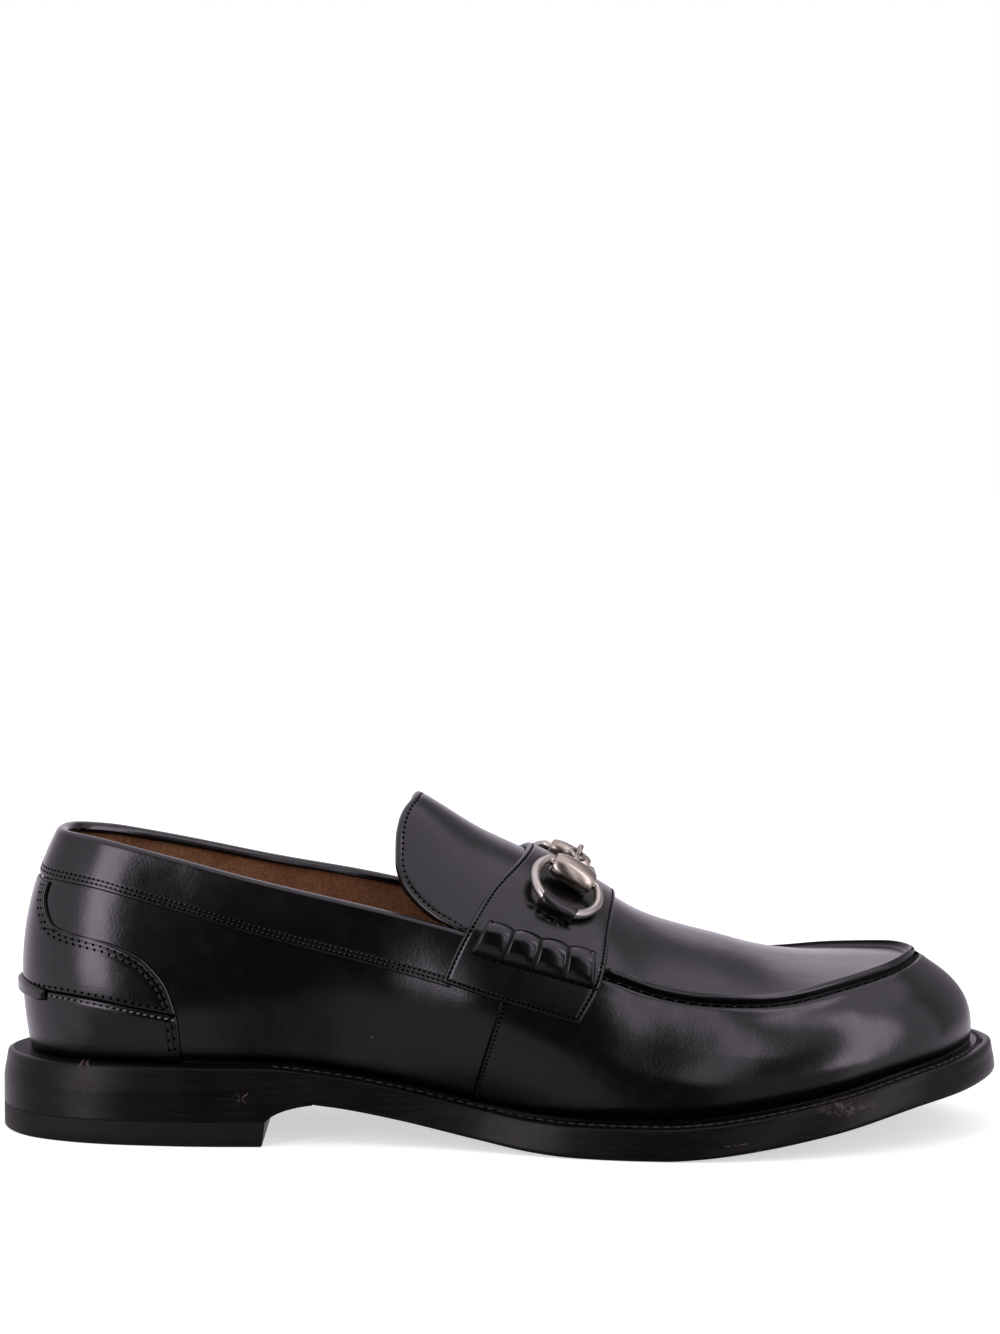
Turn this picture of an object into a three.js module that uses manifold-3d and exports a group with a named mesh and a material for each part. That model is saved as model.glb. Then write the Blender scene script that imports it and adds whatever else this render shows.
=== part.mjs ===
// A man's black leather loafer for the right foot, with a jointed metal bit across the saddle strap.
// Millimetres. X runs from the heel's back to the toe, Y from the outer side (minus) to the inner side
// (plus), Z up.
// Every leather piece is cut from one surface, the last, worked out from the tables of shares below.
import * as THREE from "three";
import { mergeVertices } from "three/addons/utils/BufferGeometryUtils.js";
import Module from "manifold-3d";

const wasm = await Module();
wasm.setup();

// Driving sizes of the last
const soleLength = 302.8;
const ballWidth = 109;
const collarHeight = 91.5; // floor to the topline at the heel's back
const instepHeight = 84; // floor to the ridge under the strap's rear edge
const heelHeight = 14.5; // floor to the outsole's underside at the heel
const toeSpring = 17; // floor to the outsole's underside at the toe's tip

// Thicknesses of the sole and the leathers, and the gap that neighbours keep
const gap = 0.3;
const outsoleThickness = 5.4;
const weltThickness = 3.8;
const topLiftThickness = 7.6;
const insoleThickness = 5.2;
const upperWall = 1.8;
const overlayThickness = 1.1;
const strapThickness = 2.1;
const tongueThickness = 2.2;

// The sole's edge, the heel and what stands out from the upper
const soleFlare = 2; // how far the edge runs out from the welt's top to the outsole's underside
const weltBevel = 1.2;
const heelLength = 82;
const heelBreastFillet = 14;
const collarBandWidth = 16.2;
const seamRidgeHeight = 1.6;
const seamRidgeWidth = 2.4;
const rollWidth = 12;
const rollHeight = 4.4;
const rollLobes = 4;
const rollGroove = 0.8;
const heelTabStandOut = 3;

// The bit: two rings, two barrels that end in eyes caught in each other, and the leather keepers over the
// rings
const ringDiameter = 23.6;
const ringWire = 2.8;
const barrelLength = 12.8;
const barrelWidth = 8.2;
const barrelThickness = 6.8;
const barrelEndShare = 0.74; // of its middle's width and thickness
const barrelFacets = 8;
const barrelSpread = 17.9; // middle of the instep to a barrel's axis
const eyeRadius = 2.3;
const eyeWire = 1.6;
const armDiameter = 3.2;
const keeperWidth = 11.5;
const keeperThickness = 1.2;

// The sole's outline on the floor. Shares of the sole length and of the ball width, the outer side minus.
const soleOutline = [
  { spot: "heel back", along: 0, out: 0.0 },
  { spot: "heel corner, outer", along: 0.026, out: -0.172 },
  { spot: "heel side, outer", along: 0.085, out: -0.268 },
  { spot: "heel middle, outer", along: 0.185, out: -0.318 },
  { spot: "breast, outer", along: 0.28, out: -0.325 },
  { spot: "waist, outer", along: 0.37, out: -0.325 },
  { spot: "behind the ball, outer", along: 0.47, out: -0.378 },
  { spot: "ball's start, outer", along: 0.57, out: -0.466 },
  { spot: "ball, outer", along: 0.68, out: -0.51 },
  { spot: "small toes", along: 0.79, out: -0.486 },
  { spot: "toe shoulder, outer", along: 0.88, out: -0.408 },
  { spot: "toe corner, outer", along: 0.956, out: -0.262 },
  { spot: "toe tip", along: 1, out: 0.025 },
  { spot: "toe corner, inner", along: 0.963, out: 0.285 },
  { spot: "big toe", along: 0.89, out: 0.395 },
  { spot: "toe shoulder, inner", along: 0.8, out: 0.462 },
  { spot: "ball, inner", along: 0.71, out: 0.49 },
  { spot: "ball's start, inner", along: 0.62, out: 0.462 },
  { spot: "waist's front, inner", along: 0.51, out: 0.352 },
  { spot: "waist, inner", along: 0.4, out: 0.275 },
  { spot: "breast, inner", along: 0.29, out: 0.285 },
  { spot: "heel middle, inner", along: 0.185, out: 0.308 },
  { spot: "heel side, inner", along: 0.085, out: 0.266 },
  { spot: "heel corner, inner", along: 0.026, out: 0.172 },
];

// The outsole's underside: its height as a share of the heel height, and of the toe spring where it lifts
// in front.
const soleBottom = [
  { along: 0, heel: 1, toe: 0 },
  { along: 0.27, heel: 0.97, toe: 0 },
  { along: 0.33, heel: 0.83, toe: 0 },
  { along: 0.4, heel: 0.58, toe: 0 },
  { along: 0.48, heel: 0.24, toe: 0 },
  { along: 0.545, heel: 0, toe: 0 },
  { along: 0.66, heel: 0, toe: 0 },
  { along: 0.72, heel: 0, toe: 0.1 },
  { along: 0.82, heel: 0, toe: 0.41 },
  { along: 0.92, heel: 0, toe: 0.82 },
  { along: 1, heel: 0, toe: 1 },
];

// How far inside the sole's outline the upper meets the welt (ledge) and the shoulder line lies on either
// side, as shares of the ball width. The shoulder line is the topline, then the side roll, then the apron
// seam.
const insets = [
  { along: 0, ledge: 0.09, outer: 0.19, inner: 0.19 },
  { along: 0.026, ledge: 0.083, outer: 0.158, inner: 0.158 },
  { along: 0.085, ledge: 0.07, outer: 0.137, inner: 0.135 },
  { along: 0.185, ledge: 0.064, outer: 0.102, inner: 0.092 },
  { along: 0.28, ledge: 0.06, outer: 0.05, inner: 0.01 },
  { along: 0.37, ledge: 0.058, outer: 0.01, inner: -0.045 },
  { along: 0.47, ledge: 0.062, outer: 0.012, inner: -0.03 },
  { along: 0.57, ledge: 0.077, outer: 0.075, inner: 0.065 },
  { along: 0.65, ledge: 0.09, outer: 0.138, inner: 0.135 },
  { along: 0.74, ledge: 0.093, outer: 0.168, inner: 0.165 },
  { along: 0.87, ledge: 0.09, outer: 0.205, inner: 0.205 },
  { along: 0.95, ledge: 0.084, outer: 0.225, inner: 0.225 },
  { along: 1, ledge: 0.078, outer: 0.237, inner: 0.237 },
];

// Height of the shoulder line on either side, as a share of the collar height.
const shoulderRise = [
  { along: 0.07, outer: 1, inner: 1 },
  { along: 0.104, outer: 0.986, inner: 0.984 },
  { along: 0.141, outer: 0.961, inner: 0.958 },
  { along: 0.18, outer: 0.932, inner: 0.929 },
  { along: 0.265, outer: 0.865, inner: 0.861 },
  { along: 0.39, outer: 0.776, inner: 0.776 },
  { along: 0.464, outer: 0.718, inner: 0.718 },
  { along: 0.546, outer: 0.636, inner: 0.638 },
  { along: 0.609, outer: 0.579, inner: 0.588 },
  { along: 0.647, outer: 0.527, inner: 0.548 },
  { along: 0.7, outer: 0.485, inner: 0.511 },
  { along: 0.762, outer: 0.47, inner: 0.505 },
  { along: 0.838, outer: 0.508, inner: 0.536 },
  { along: 0.914, outer: 0.562, inner: 0.562 },
];

// Height of the ridge over the foot, as a share of the instep height. Behind the tongue it only carries
// the cutters.
const ridgeRise = [
  { along: 0.13, height: 1.5 },
  { along: 0.3, height: 1.4 },
  { along: 0.423, height: 1.205 },
  { along: 0.481, height: 1.075 },
  { along: 0.52, height: 1.01 },
  { along: 0.552, height: 0.952 },
  { along: 0.6, height: 0.848 },
  { along: 0.642, height: 0.758 },
  { along: 0.722, height: 0.674 },
  { along: 0.768, height: 0.63 },
  { along: 0.82, height: 0.61 },
];

// Shape of the wall between the welt and the shoulder line: how far it leans out at the welt and at what
// slope it reaches the shoulder line, in degrees, and the length of the two handles as shares of the
// wall's height.
const wallShape = [
  { along: 0, lean: 10, arrive: 60, low: 0.3, high: 0.42 },
  { along: 0.08, lean: 14, arrive: 64, low: 0.32, high: 0.4 },
  { along: 0.2, lean: 20, arrive: 74, low: 0.32, high: 0.36 },
  { along: 0.35, lean: 24, arrive: 84, low: 0.34, high: 0.34 },
  { along: 0.47, lean: 28, arrive: 66, low: 0.36, high: 0.36 },
  { along: 0.56, lean: 24, arrive: 50, low: 0.4, high: 0.4 },
  { along: 0.65, lean: 22, arrive: 42, low: 0.42, high: 0.42 },
  { along: 0.8, lean: 20, arrive: 36, low: 0.44, high: 0.46 },
  { along: 1, lean: 6, arrive: 28, low: 0.42, high: 0.66 },
];

// The two points on the spine about which the sections fan out round the heel and the toe, and the
// ridge's bend
const heelFan = 0.13;
const toeFan = 0.82;
const spineBend = [
  { along: 0, side: 0 },
  { along: 0.5, side: 0 },
  { along: 0.8, side: 0.012 },
  { along: 1, side: 0.022 },
];
const ridgeRoundness = 1;
// How far the wall runs on over the topline before it turns in, so that the cut is clean
const wallAbove = 1.2;
const seamStart = 0.6;
const seamFade = 0.02;

// Edges in the side view, in shares of the sole length along and of the collar height up.
const throatEdge = [
  { along: 0.496, up: 0.6 },
  { along: 0.51, up: 0.72 },
  { along: 0.565, up: 0.93 },
  { along: 0.6, up: 1.4 },
];
const tongueEdge = [
  { along: 0.44, up: 1.19 },
  { along: 0.4235, up: 1.105 },
  { along: 0.409, up: 1.068 },
  { along: 0.4015, up: 1.0 },
  { along: 0.399, up: 0.93 },
  { along: 0.404, up: 0.862 },
  { along: 0.418, up: 0.802 },
  { along: 0.437, up: 0.755 },
  { along: 0.466, up: 0.7 },
  { along: 0.5, up: 0.6 },
];
const strapRearEdge = [
  { along: 0.545, up: 1.06 },
  { along: 0.533, up: 0.949 },
  { along: 0.489, up: 0.82 },
  { along: 0.469, up: 0.722 },
  { along: 0.456, up: 0.64 },
  { along: 0.445, up: 0.553 },
];
const strapFrontEdge = [
  { along: 0.576, up: 0.427 },
  { along: 0.595, up: 0.535 },
  { along: 0.602, up: 0.607 },
  { along: 0.607, up: 0.7 },
  { along: 0.615, up: 0.775 },
  { along: 0.63, up: 0.9 },
];
const counterEdge = [
  { along: 0.063, up: 0.86 },
  { along: 0.055, up: 0.775 },
  { along: 0.062, up: 0.705 },
  { along: 0.088, up: 0.673 },
  { along: 0.12, up: 0.655 },
  { along: 0.155, up: 0.6 },
  { along: 0.178, up: 0.505 },
  { along: 0.187, up: 0.39 },
  { along: 0.19, up: 0.2 },
];
const foxingEdge = [
  { along: -0.02, up: 0.482 },
  { along: 0.056, up: 0.482 },
  { along: 0.171, up: 0.432 },
  { along: 0.22, up: 0.4 },
];
const rollEnds = [
  { along: 0.481, up: 0.697 },
  { along: 0.591, up: 0.59 },
];
const bitAlong = 0.571;
const heelTabOutline = [
  { along: -0.02, up: 0.51 },
  { along: 0.03, up: 0.505 },
  { along: 0.0565, up: 0.478 },
  { along: 0.053, up: 0.46 },
  { along: 0.025, up: 0.452 },
  { along: -0.02, up: 0.452 },
];

// Sections from heel to toe and points on each, for the fineness of the faceted solids
const sectionCount = 36;
const wallPoints = 5;
const roofPoints = 4;
const evenness = 0.03; // how far a flat part may be from its facets when they are joined
const up = new THREE.Vector3(0, 0, 1);

// A smooth curve through the rows of a table, without overshoot.
function read(table, column, along) {
  const last = table.length - 1;
  if (along <= table[0].along) return table[0][column];
  if (along >= table[last].along) return table[last][column];
  let i = 0;
  while (table[i + 1].along < along) i++;
  const rise = (k) => (table[k + 1][column] - table[k][column]) / (table[k + 1].along - table[k].along);
  const slope = (k) => {
    if (k === 0) return rise(0);
    if (k === last) return rise(last - 1);
    const product = rise(k - 1) * rise(k);
    return product <= 0 ? 0 : (2 * product) / (rise(k - 1) + rise(k));
  };
  const span = table[i + 1].along - table[i].along;
  const t = (along - table[i].along) / span;
  const u = 1 - t;
  return (
    table[i][column] * (1 + 2 * t) * u * u +
    slope(i) * span * t * u * u +
    table[i + 1][column] * (3 - 2 * t) * t * t -
    slope(i + 1) * span * t * t * u
  );
}

const bottomHeight = (x) =>
  heelHeight * read(soleBottom, "heel", x / soleLength) +
  toeSpring * read(soleBottom, "toe", x / soleLength);
const outsoleTop = (x) => bottomHeight(x) + outsoleThickness;
const weltTop = (x) => outsoleTop(x) + gap + weltThickness;
const shoulderHeight = (x, side) =>
  collarHeight * read(shoulderRise, side < 0 ? "outer" : "inner", x / soleLength);
const ridgeHeight = (x) => instepHeight * read(ridgeRise, "height", x / soleLength);
const ridgeSide = (x) => ballWidth * read(spineBend, "side", x / soleLength);

// Solids: a closed surface from points and triangles, and what is cut from it.
function solidOf(points, triangles) {
  const geometry = new THREE.BufferGeometry();
  const flat = points.flatMap((p) => [p.x, p.y, p.z]);
  geometry.setAttribute("position", new THREE.Float32BufferAttribute(flat, 3));
  geometry.setIndex(triangles);
  return solidOfGeometry(geometry);
}
function solidOfGeometry(source) {
  source.deleteAttribute("normal");
  source.deleteAttribute("uv");
  const geometry = mergeVertices(source, 1e-4);
  const index = [];
  const flat = geometry.index.array;
  for (let i = 0; i < flat.length; i += 3) {
    const [a, b, c] = [flat[i], flat[i + 1], flat[i + 2]];
    if (a !== b && b !== c && a !== c) index.push(a, b, c);
  }
  return new wasm.Manifold(
    new wasm.Mesh({
      numProp: 3,
      vertProperties: new Float32Array(geometry.attributes.position.array),
      triVerts: new Uint32Array(index),
    }),
  );
}

// The sole's outline in equal steps as one loop: the outer half from heel to toe, then the inner half
// back.
const outlineCurve = new THREE.CatmullRomCurve3(
  soleOutline.map((row) => new THREE.Vector3(row.along * soleLength, row.out * ballWidth, 0)),
  true,
  "centripetal",
);
const toeShare = soleOutline.findIndex((row) => row.spot === "toe tip") / soleOutline.length;
function outlineHalf(side) {
  const fine = 600;
  const at = (share) => outlineCurve.getPoint(side < 0 ? share * toeShare : 1 - share * (1 - toeShare));
  const points = Array.from({ length: fine + 1 }, (_, i) => at(i / fine));
  const lengths = [0];
  for (let i = 1; i <= fine; i++) lengths.push(lengths[i - 1] + points[i].distanceTo(points[i - 1]));
  const half = [];
  let k = 0;
  for (let i = 0; i <= sectionCount; i++) {
    const wanted = (lengths[fine] * i) / sectionCount;
    while (k < fine - 1 && lengths[k + 1] < wanted) k++;
    const share = (wanted - lengths[k]) / (lengths[k + 1] - lengths[k]);
    const point = points[k].clone().lerp(points[k + 1], share);
    const ahead = points[Math.min(k + 2, fine)].clone().sub(points[Math.max(k - 1, 0)]).normalize();
    const into = new THREE.Vector3(side * ahead.y, -side * ahead.x, 0);
    if (i === 0) into.set(1, 0, 0);
    if (i === sectionCount) into.set(-1, 0, 0);
    half.push({ point, into, side, step: i });
  }
  return half;
}
const outerHalf = outlineHalf(-1);
const innerHalf = outlineHalf(1);
const loop = [...outerHalf, ...innerHalf.slice(1, -1).reverse()];
const loopCount = loop.length;
const opposite = (j) => (loopCount - j) % loopCount;
const ledgeOf = (station) => ballWidth * read(insets, "ledge", station.point.x / soleLength);

// Faces between rows of the loop; a cap closes a row by strips from the outer to the inner side.
function bandFaces(rowCount, closed) {
  const faces = [];
  for (let k = 0; k < (closed ? rowCount : rowCount - 1); k++) {
    for (let j = 0; j < loopCount; j++) {
      const next = (j + 1) % loopCount;
      const above = (k + 1) % rowCount;
      const [a, b] = [k * loopCount + j, k * loopCount + next];
      const [c, d] = [above * loopCount + next, above * loopCount + j];
      faces.push(a, b, c, a, c, d);
    }
  }
  return faces;
}
function capFaces(row, facingUp) {
  const faces = [];
  for (let j = 0; j < sectionCount; j++) {
    const [a, b] = [row * loopCount + j, row * loopCount + j + 1];
    const [c, d] = [row * loopCount + opposite(j + 1), row * loopCount + opposite(j)];
    if (facingUp) faces.push(a, b, c, a, c, d);
    else faces.push(a, c, b, a, d, c);
  }
  return faces;
}

// A layer of the sole: rows of how far it lies inside the outline and how high, from the underside to the
// top.
function plate(rows, hollow) {
  const points = [];
  for (const row of rows) {
    for (const station of loop) {
      const point = station.point.clone().addScaledVector(station.into, row.inset(station));
      point.z = row.height(point.x);
      points.push(point);
    }
  }
  const faces = bandFaces(rows.length, hollow);
  if (!hollow) faces.push(...capFaces(0, false), ...capFaces(rows.length - 1, true));
  return solidOf(points, faces);
}

// One section of the last over a station: the wall from the welt to the shoulder line, then the roof to
// the spine. Lift is 1 on the raised apron seam.
function sectionAt(station) {
  const along = station.point.x / soleLength;
  const inset = ballWidth * read(insets, station.side < 0 ? "outer" : "inner", along);
  const foot = station.point.clone().addScaledVector(station.into, ledgeOf(station));
  foot.z = weltTop(foot.x) + gap;
  // Round the heel the sections turn toward the point where the spine ends.
  const fan = new THREE.Vector3(heelFan * soleLength, ridgeSide(heelFan * soleLength), 0);
  const toFan = fan.sub(station.point).setZ(0).normalize();
  const turned = THREE.MathUtils.smoothstep(heelFan - along, 0, heelFan / 2);
  const toward = station.into.clone().lerp(toFan, turned).normalize();
  const shoulder = station.point.clone().addScaledVector(toward, inset);
  shoulder.z = shoulderHeight(shoulder.x, station.side);
  if (station.step === 0) shoulder.z = (shoulderHeight(shoulder.x, -1) + shoulderHeight(shoulder.x, 1)) / 2;
  shoulder.z += wallAbove * THREE.MathUtils.clamp((0.5 - along) / 0.06, 0, 1);
  const rise = shoulder.z - foot.z;
  const lean = THREE.MathUtils.degToRad(read(wallShape, "lean", along));
  const arrive = THREE.MathUtils.degToRad(read(wallShape, "arrive", along));
  const low = rise * read(wallShape, "low", along);
  const high = rise * read(wallShape, "high", along);
  const lowHandle = foot
    .clone()
    .addScaledVector(station.into, -low * Math.sin(lean))
    .addScaledVector(up, low);
  const highHandle = shoulder
    .clone()
    .addScaledVector(toward, -high * Math.cos(arrive))
    .addScaledVector(up, -high * Math.sin(arrive));
  const wall = new THREE.CubicBezierCurve3(foot, lowHandle, highHandle, shoulder);

  const mate = loop[opposite(loop.indexOf(station))];
  const middle = (station.point.x + mate.point.x) / 2;
  const x = Math.min(Math.max(middle, heelFan * soleLength), toeFan * soleLength);
  const spine = new THREE.Vector3(x, ridgeSide(x), ridgeHeight(x));
  const c = ridgeRoundness;
  const roof = (share) => {
    const fall = (Math.hypot(share, c) - c) / (Math.hypot(1, c) - c);
    const point = spine.clone().lerp(shoulder, share);
    point.z = spine.z + (shoulder.z - spine.z) * fall;
    return point;
  };
  const inner = 1 - seamRidgeWidth / Math.hypot(shoulder.x - spine.x, shoulder.y - spine.y);
  const lift = THREE.MathUtils.clamp((shoulder.x / soleLength - seamStart) / seamFade, 0, 1);
  const points = [];
  for (let k = 0; k <= wallPoints; k++) points.push(wall.getPoint(k / wallPoints));
  for (let k = 0; k <= roofPoints; k++) points.push(roof(inner * (1 - k / roofPoints)));
  return { points, lift };
}
const sections = loop.map(sectionAt);
const rowCount = sections[0].points.length;

// The outward direction at every point, taken across its neighbours on the section and along the loop.
const normals = sections.map((section, j) =>
  section.points.map((point, k) => {
    if (k === 0) return loop[j].into.clone().negate();
    if (k === rowCount - 1) {
      return new THREE.Vector3(ridgeHeight(point.x - 1) - ridgeHeight(point.x + 1), 0, 2).normalize();
    }
    const over = section.points[k + 1].clone().sub(section.points[k - 1]);
    const behind = sections[(j + loopCount - 1) % loopCount].points[k];
    const ahead = sections[(j + 1) % loopCount].points[k];
    return new THREE.Vector3().crossVectors(ahead.clone().sub(behind), over).normalize();
  }),
);

// The last, grown or shrunk by a distance; drop carries it on below the welt. The ridge of the apron seam
// stands on the two rows beside the shoulder line, which are doubled for its sides.
function lastSolid(offset, drop = 0, ridge = 0) {
  const points = [];
  const addRow = (k, distance, lower) => {
    for (let j = 0; j < loopCount; j++) {
      const point = sections[j].points[k].clone().addScaledVector(up, -lower);
      points.push(point.addScaledVector(normals[j][k], offset + distance * sections[j].lift));
    }
  };
  if (drop > 0) addRow(0, 0, drop);
  for (let k = 0; k < rowCount; k++) {
    const beside = ridge > 0 && (k === wallPoints || k === wallPoints + 1);
    addRow(k, beside && k > wallPoints ? ridge : 0, 0);
    if (beside) addRow(k, k > wallPoints ? 0 : ridge, 0);
  }
  return solidOf(points, [...bandFaces(points.length / loopCount, false), ...capFaces(0, false)]);
}

// A piece of leather between two distances from the last.
const skin = (from, to) => lastSolid(to).subtract(lastSolid(from, 3));

// Cutters: an outline in the side view, carried across the whole width. Rises tells how much higher it
// lies on the inner side than on the outer side at a given place along.
const reach = 90;
const sidePoint = (row) => new THREE.Vector2(row.along * soleLength, row.up * collarHeight);
const smooth = (rows, steps = 12) => new THREE.SplineCurve(rows.map(sidePoint)).getPoints(steps);
function sideCut(points, rises = () => 0) {
  const shape = new THREE.Shape(points);
  const geometry = new THREE.ExtrudeGeometry(shape, { depth: 2 * reach, bevelEnabled: false });
  const position = geometry.attributes.position;
  for (let i = 0; i < position.count; i++) {
    const [x, z, depth] = [position.getX(i), position.getY(i), position.getZ(i)];
    const y = reach - depth;
    position.setXYZ(i, x, y, z + (rises(x) * y) / ballWidth);
  }
  return solidOfGeometry(geometry);
}
function geometryOf(solid) {
  const { vertProperties, triVerts, numProp } = solid.getMesh();
  const flat = [];
  for (let i = 0; i < vertProperties.length; i += numProp) {
    flat.push(vertProperties[i], vertProperties[i + 1], vertProperties[i + 2]);
  }
  const geometry = new THREE.BufferGeometry();
  geometry.setAttribute("position", new THREE.Float32BufferAttribute(flat, 3));
  geometry.setIndex(Array.from(triVerts));
  return geometry;
}
// A closed outline with every corner moved outward by a distance
function grow(points, distance) {
  const turn = THREE.ShapeUtils.area(points) > 0 ? 1 : -1;
  return points.map((point, k) => {
    const before = points[(k + points.length - 1) % points.length];
    const after = points[(k + 1) % points.length];
    const first = point.clone().sub(before).normalize();
    const second = after.clone().sub(point).normalize();
    const sum = new THREE.Vector2(first.y + second.y, -first.x - second.x);
    const reachOut = (2 * distance * turn) / Math.max(sum.lengthSq(), 1);
    return point.clone().addScaledVector(sum, reachOut);
  });
}
const point2 = (along, high) => new THREE.Vector2(along * soleLength, high * collarHeight);

// The opening above the topline, closed in front by the throat; spare draws it in, lower brings its floor
// down.
const toplineRises = (x) => 2 * (shoulderHeight(x, 1) - shoulderHeight(x, -1));
const toplineHeight = (x) => (shoulderHeight(x, 1) + shoulderHeight(x, -1)) / 2;
function openingOutline() {
  const throat = smooth(throatEdge);
  const floor = [];
  for (let k = 0; k <= 18; k++) {
    const x = THREE.MathUtils.lerp(0, throat[0].x, k / 18);
    floor.push(new THREE.Vector2(x, toplineHeight(x)));
  }
  const front = throat.filter((p) => p.y > floor[floor.length - 1].y + 0.5);
  const top = throatEdge[throatEdge.length - 1].up * collarHeight;
  return [new THREE.Vector2(-reach, floor[0].y), ...floor, ...front, new THREE.Vector2(-reach, top)];
}
const opening = (spare) => sideCut(grow(openingOutline(), -spare), toplineRises);
function belowTopline(depth, spare) {
  const points = [];
  for (let k = 0; k <= 18; k++) {
    const x = THREE.MathUtils.lerp(-5, 0.5 * soleLength, k / 18);
    points.push(new THREE.Vector2(x, toplineHeight(x) - depth(x) - spare));
  }
  points.push(new THREE.Vector2(0.5 * soleLength, -reach), new THREE.Vector2(-5, -reach));
  return sideCut(points, toplineRises);
}

// Sole
const flareAt = (share) => () => soleFlare * share;
const outsole = plate([
  { inset: () => 1.2, height: (x) => bottomHeight(x) },
  { inset: () => 0.2, height: (x) => bottomHeight(x) + 0.8 },
  { inset: flareAt(0.5), height: outsoleTop },
]);
const weltInner = (station) => ledgeOf(station) + upperWall;
const weltLow = (x) => outsoleTop(x) + gap;
const welt = plate(
  [
    { inset: weltInner, height: weltLow },
    { inset: flareAt(0.55), height: weltLow },
    { inset: flareAt(1), height: (x) => weltTop(x) - weltBevel },
    { inset: () => soleFlare + weltBevel, height: weltTop },
    { inset: weltInner, height: weltTop },
  ],
  true,
);
const insoleInset = (station) => weltInner(station) + gap;
const insole = plate([
  { inset: insoleInset, height: weltLow },
  { inset: insoleInset, height: (x) => weltLow(x) + insoleThickness - 0.8 },
  { inset: (station) => insoleInset(station) + 0.8, height: (x) => weltLow(x) + insoleThickness },
]);
const breastX = heelLength;
const topLift = plate([
  { inset: () => 0, height: () => 0 },
  { inset: () => 0.1, height: () => topLiftThickness },
]).intersect(
  sideCut([
    new THREE.Vector2(-reach, -reach),
    new THREE.Vector2(breastX - 1, -reach),
    new THREE.Vector2(breastX, topLiftThickness + 1),
    new THREE.Vector2(-reach, topLiftThickness + 1),
  ]),
);
const breastCurve = new THREE.CubicBezierCurve(
  new THREE.Vector2(breastX, topLiftThickness),
  new THREE.Vector2(breastX + heelBreastFillet * 0.1, topLiftThickness + 3),
  new THREE.Vector2(breastX + heelBreastFillet * 0.35, bottomHeight(breastX + heelBreastFillet) - 1.6),
  new THREE.Vector2(breastX + heelBreastFillet, bottomHeight(breastX + heelBreastFillet) - 1),
).getPoints(8);
const heelStack = plate([
  { inset: () => 0.1, height: () => topLiftThickness + gap },
  { inset: () => 0.2, height: (x) => bottomHeight(x) - gap },
]).intersect(
  sideCut([
    new THREE.Vector2(-reach, 0),
    new THREE.Vector2(breastX, 0),
    ...breastCurve,
    new THREE.Vector2(breastX + heelBreastFillet, 2 * heelHeight),
    new THREE.Vector2(-reach, 2 * heelHeight),
  ]),
);

// Upper, tongue and strap
const strapTop = gap + strapThickness;
const strapOutline = [
  ...smooth(strapRearEdge),
  ...smooth(strapFrontEdge),
  point2(0.6, 1.3),
  point2(0.55, 1.3),
];
const strapRegion = (spare) => sideCut(grow(strapOutline, spare));
const upper = lastSolid(0, 0, seamRidgeHeight)
  .subtract(lastSolid(-upperWall, 3))
  .subtract(opening(0))
  .subtract(skin(0.02, 6).intersect(strapRegion(gap)));
const tongue = skin(-tongueThickness, 0)
  .intersect(opening(gap))
  .intersect(sideCut([...smooth(tongueEdge, 24), point2(0.7, 0.6), point2(0.7, 1.4), point2(0.46, 1.4)]));
const saddleStrap = skin(gap, strapTop).intersect(strapRegion(0));

// Collar band, counter, foxing and heel tab
const bandDepth = (x) => collarBandWidth * (0.92 + (0.16 * x) / (0.46 * soleLength));
const behindStrap = strapRegion(gap);
const bandLayer = skin(gap, gap + overlayThickness).subtract(behindStrap);
const collarBand = bandLayer
  .intersect(belowTopline(() => 0, 0))
  .subtract(belowTopline(bandDepth, 0))
  .intersect(sideCut([point2(-0.1, -0.5), point2(0.45, -0.5), point2(0.53, 1.4), point2(-0.1, 1.4)]));
const counterRegion = sideCut([...smooth(counterEdge, 24), point2(-0.1, 0.2), point2(-0.1, 0.86)]);
const foxingRegion = (spare) => {
  const edge = smooth(foxingEdge, 8).map((p) => new THREE.Vector2(p.x, p.y + spare));
  return sideCut([...edge, point2(0.22, 0), point2(-0.02, 0)]);
};
const backLayer = bandLayer.intersect(belowTopline(bandDepth, gap)).intersect(counterRegion);
const heelCounter = backLayer.subtract(foxingRegion(gap));
const heelFoxing = backLayer.intersect(foxingRegion(0));
const tabLow = 2 * gap + overlayThickness;
const heelTab = skin(tabLow, gap + overlayThickness + heelTabStandOut).intersect(
  sideCut(heelTabOutline.map(sidePoint)),
);

// Where a straight line meets the strap's outer face: the place and the face's direction
const bothSides = new THREE.MeshBasicMaterial({ side: THREE.DoubleSide });
const strapFace = new THREE.Mesh(geometryOf(lastSolid(strapTop)), bothSides);
function meet(origin, direction) {
  const hit = new THREE.Raycaster(origin, direction.clone().normalize()).intersectObject(strapFace)[0];
  const normal = hit.face.normal.clone();
  if (normal.dot(direction) > 0) normal.negate();
  return { point: hit.point, normal };
}
const aboveStrap = lastSolid(strapTop + gap);

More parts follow.
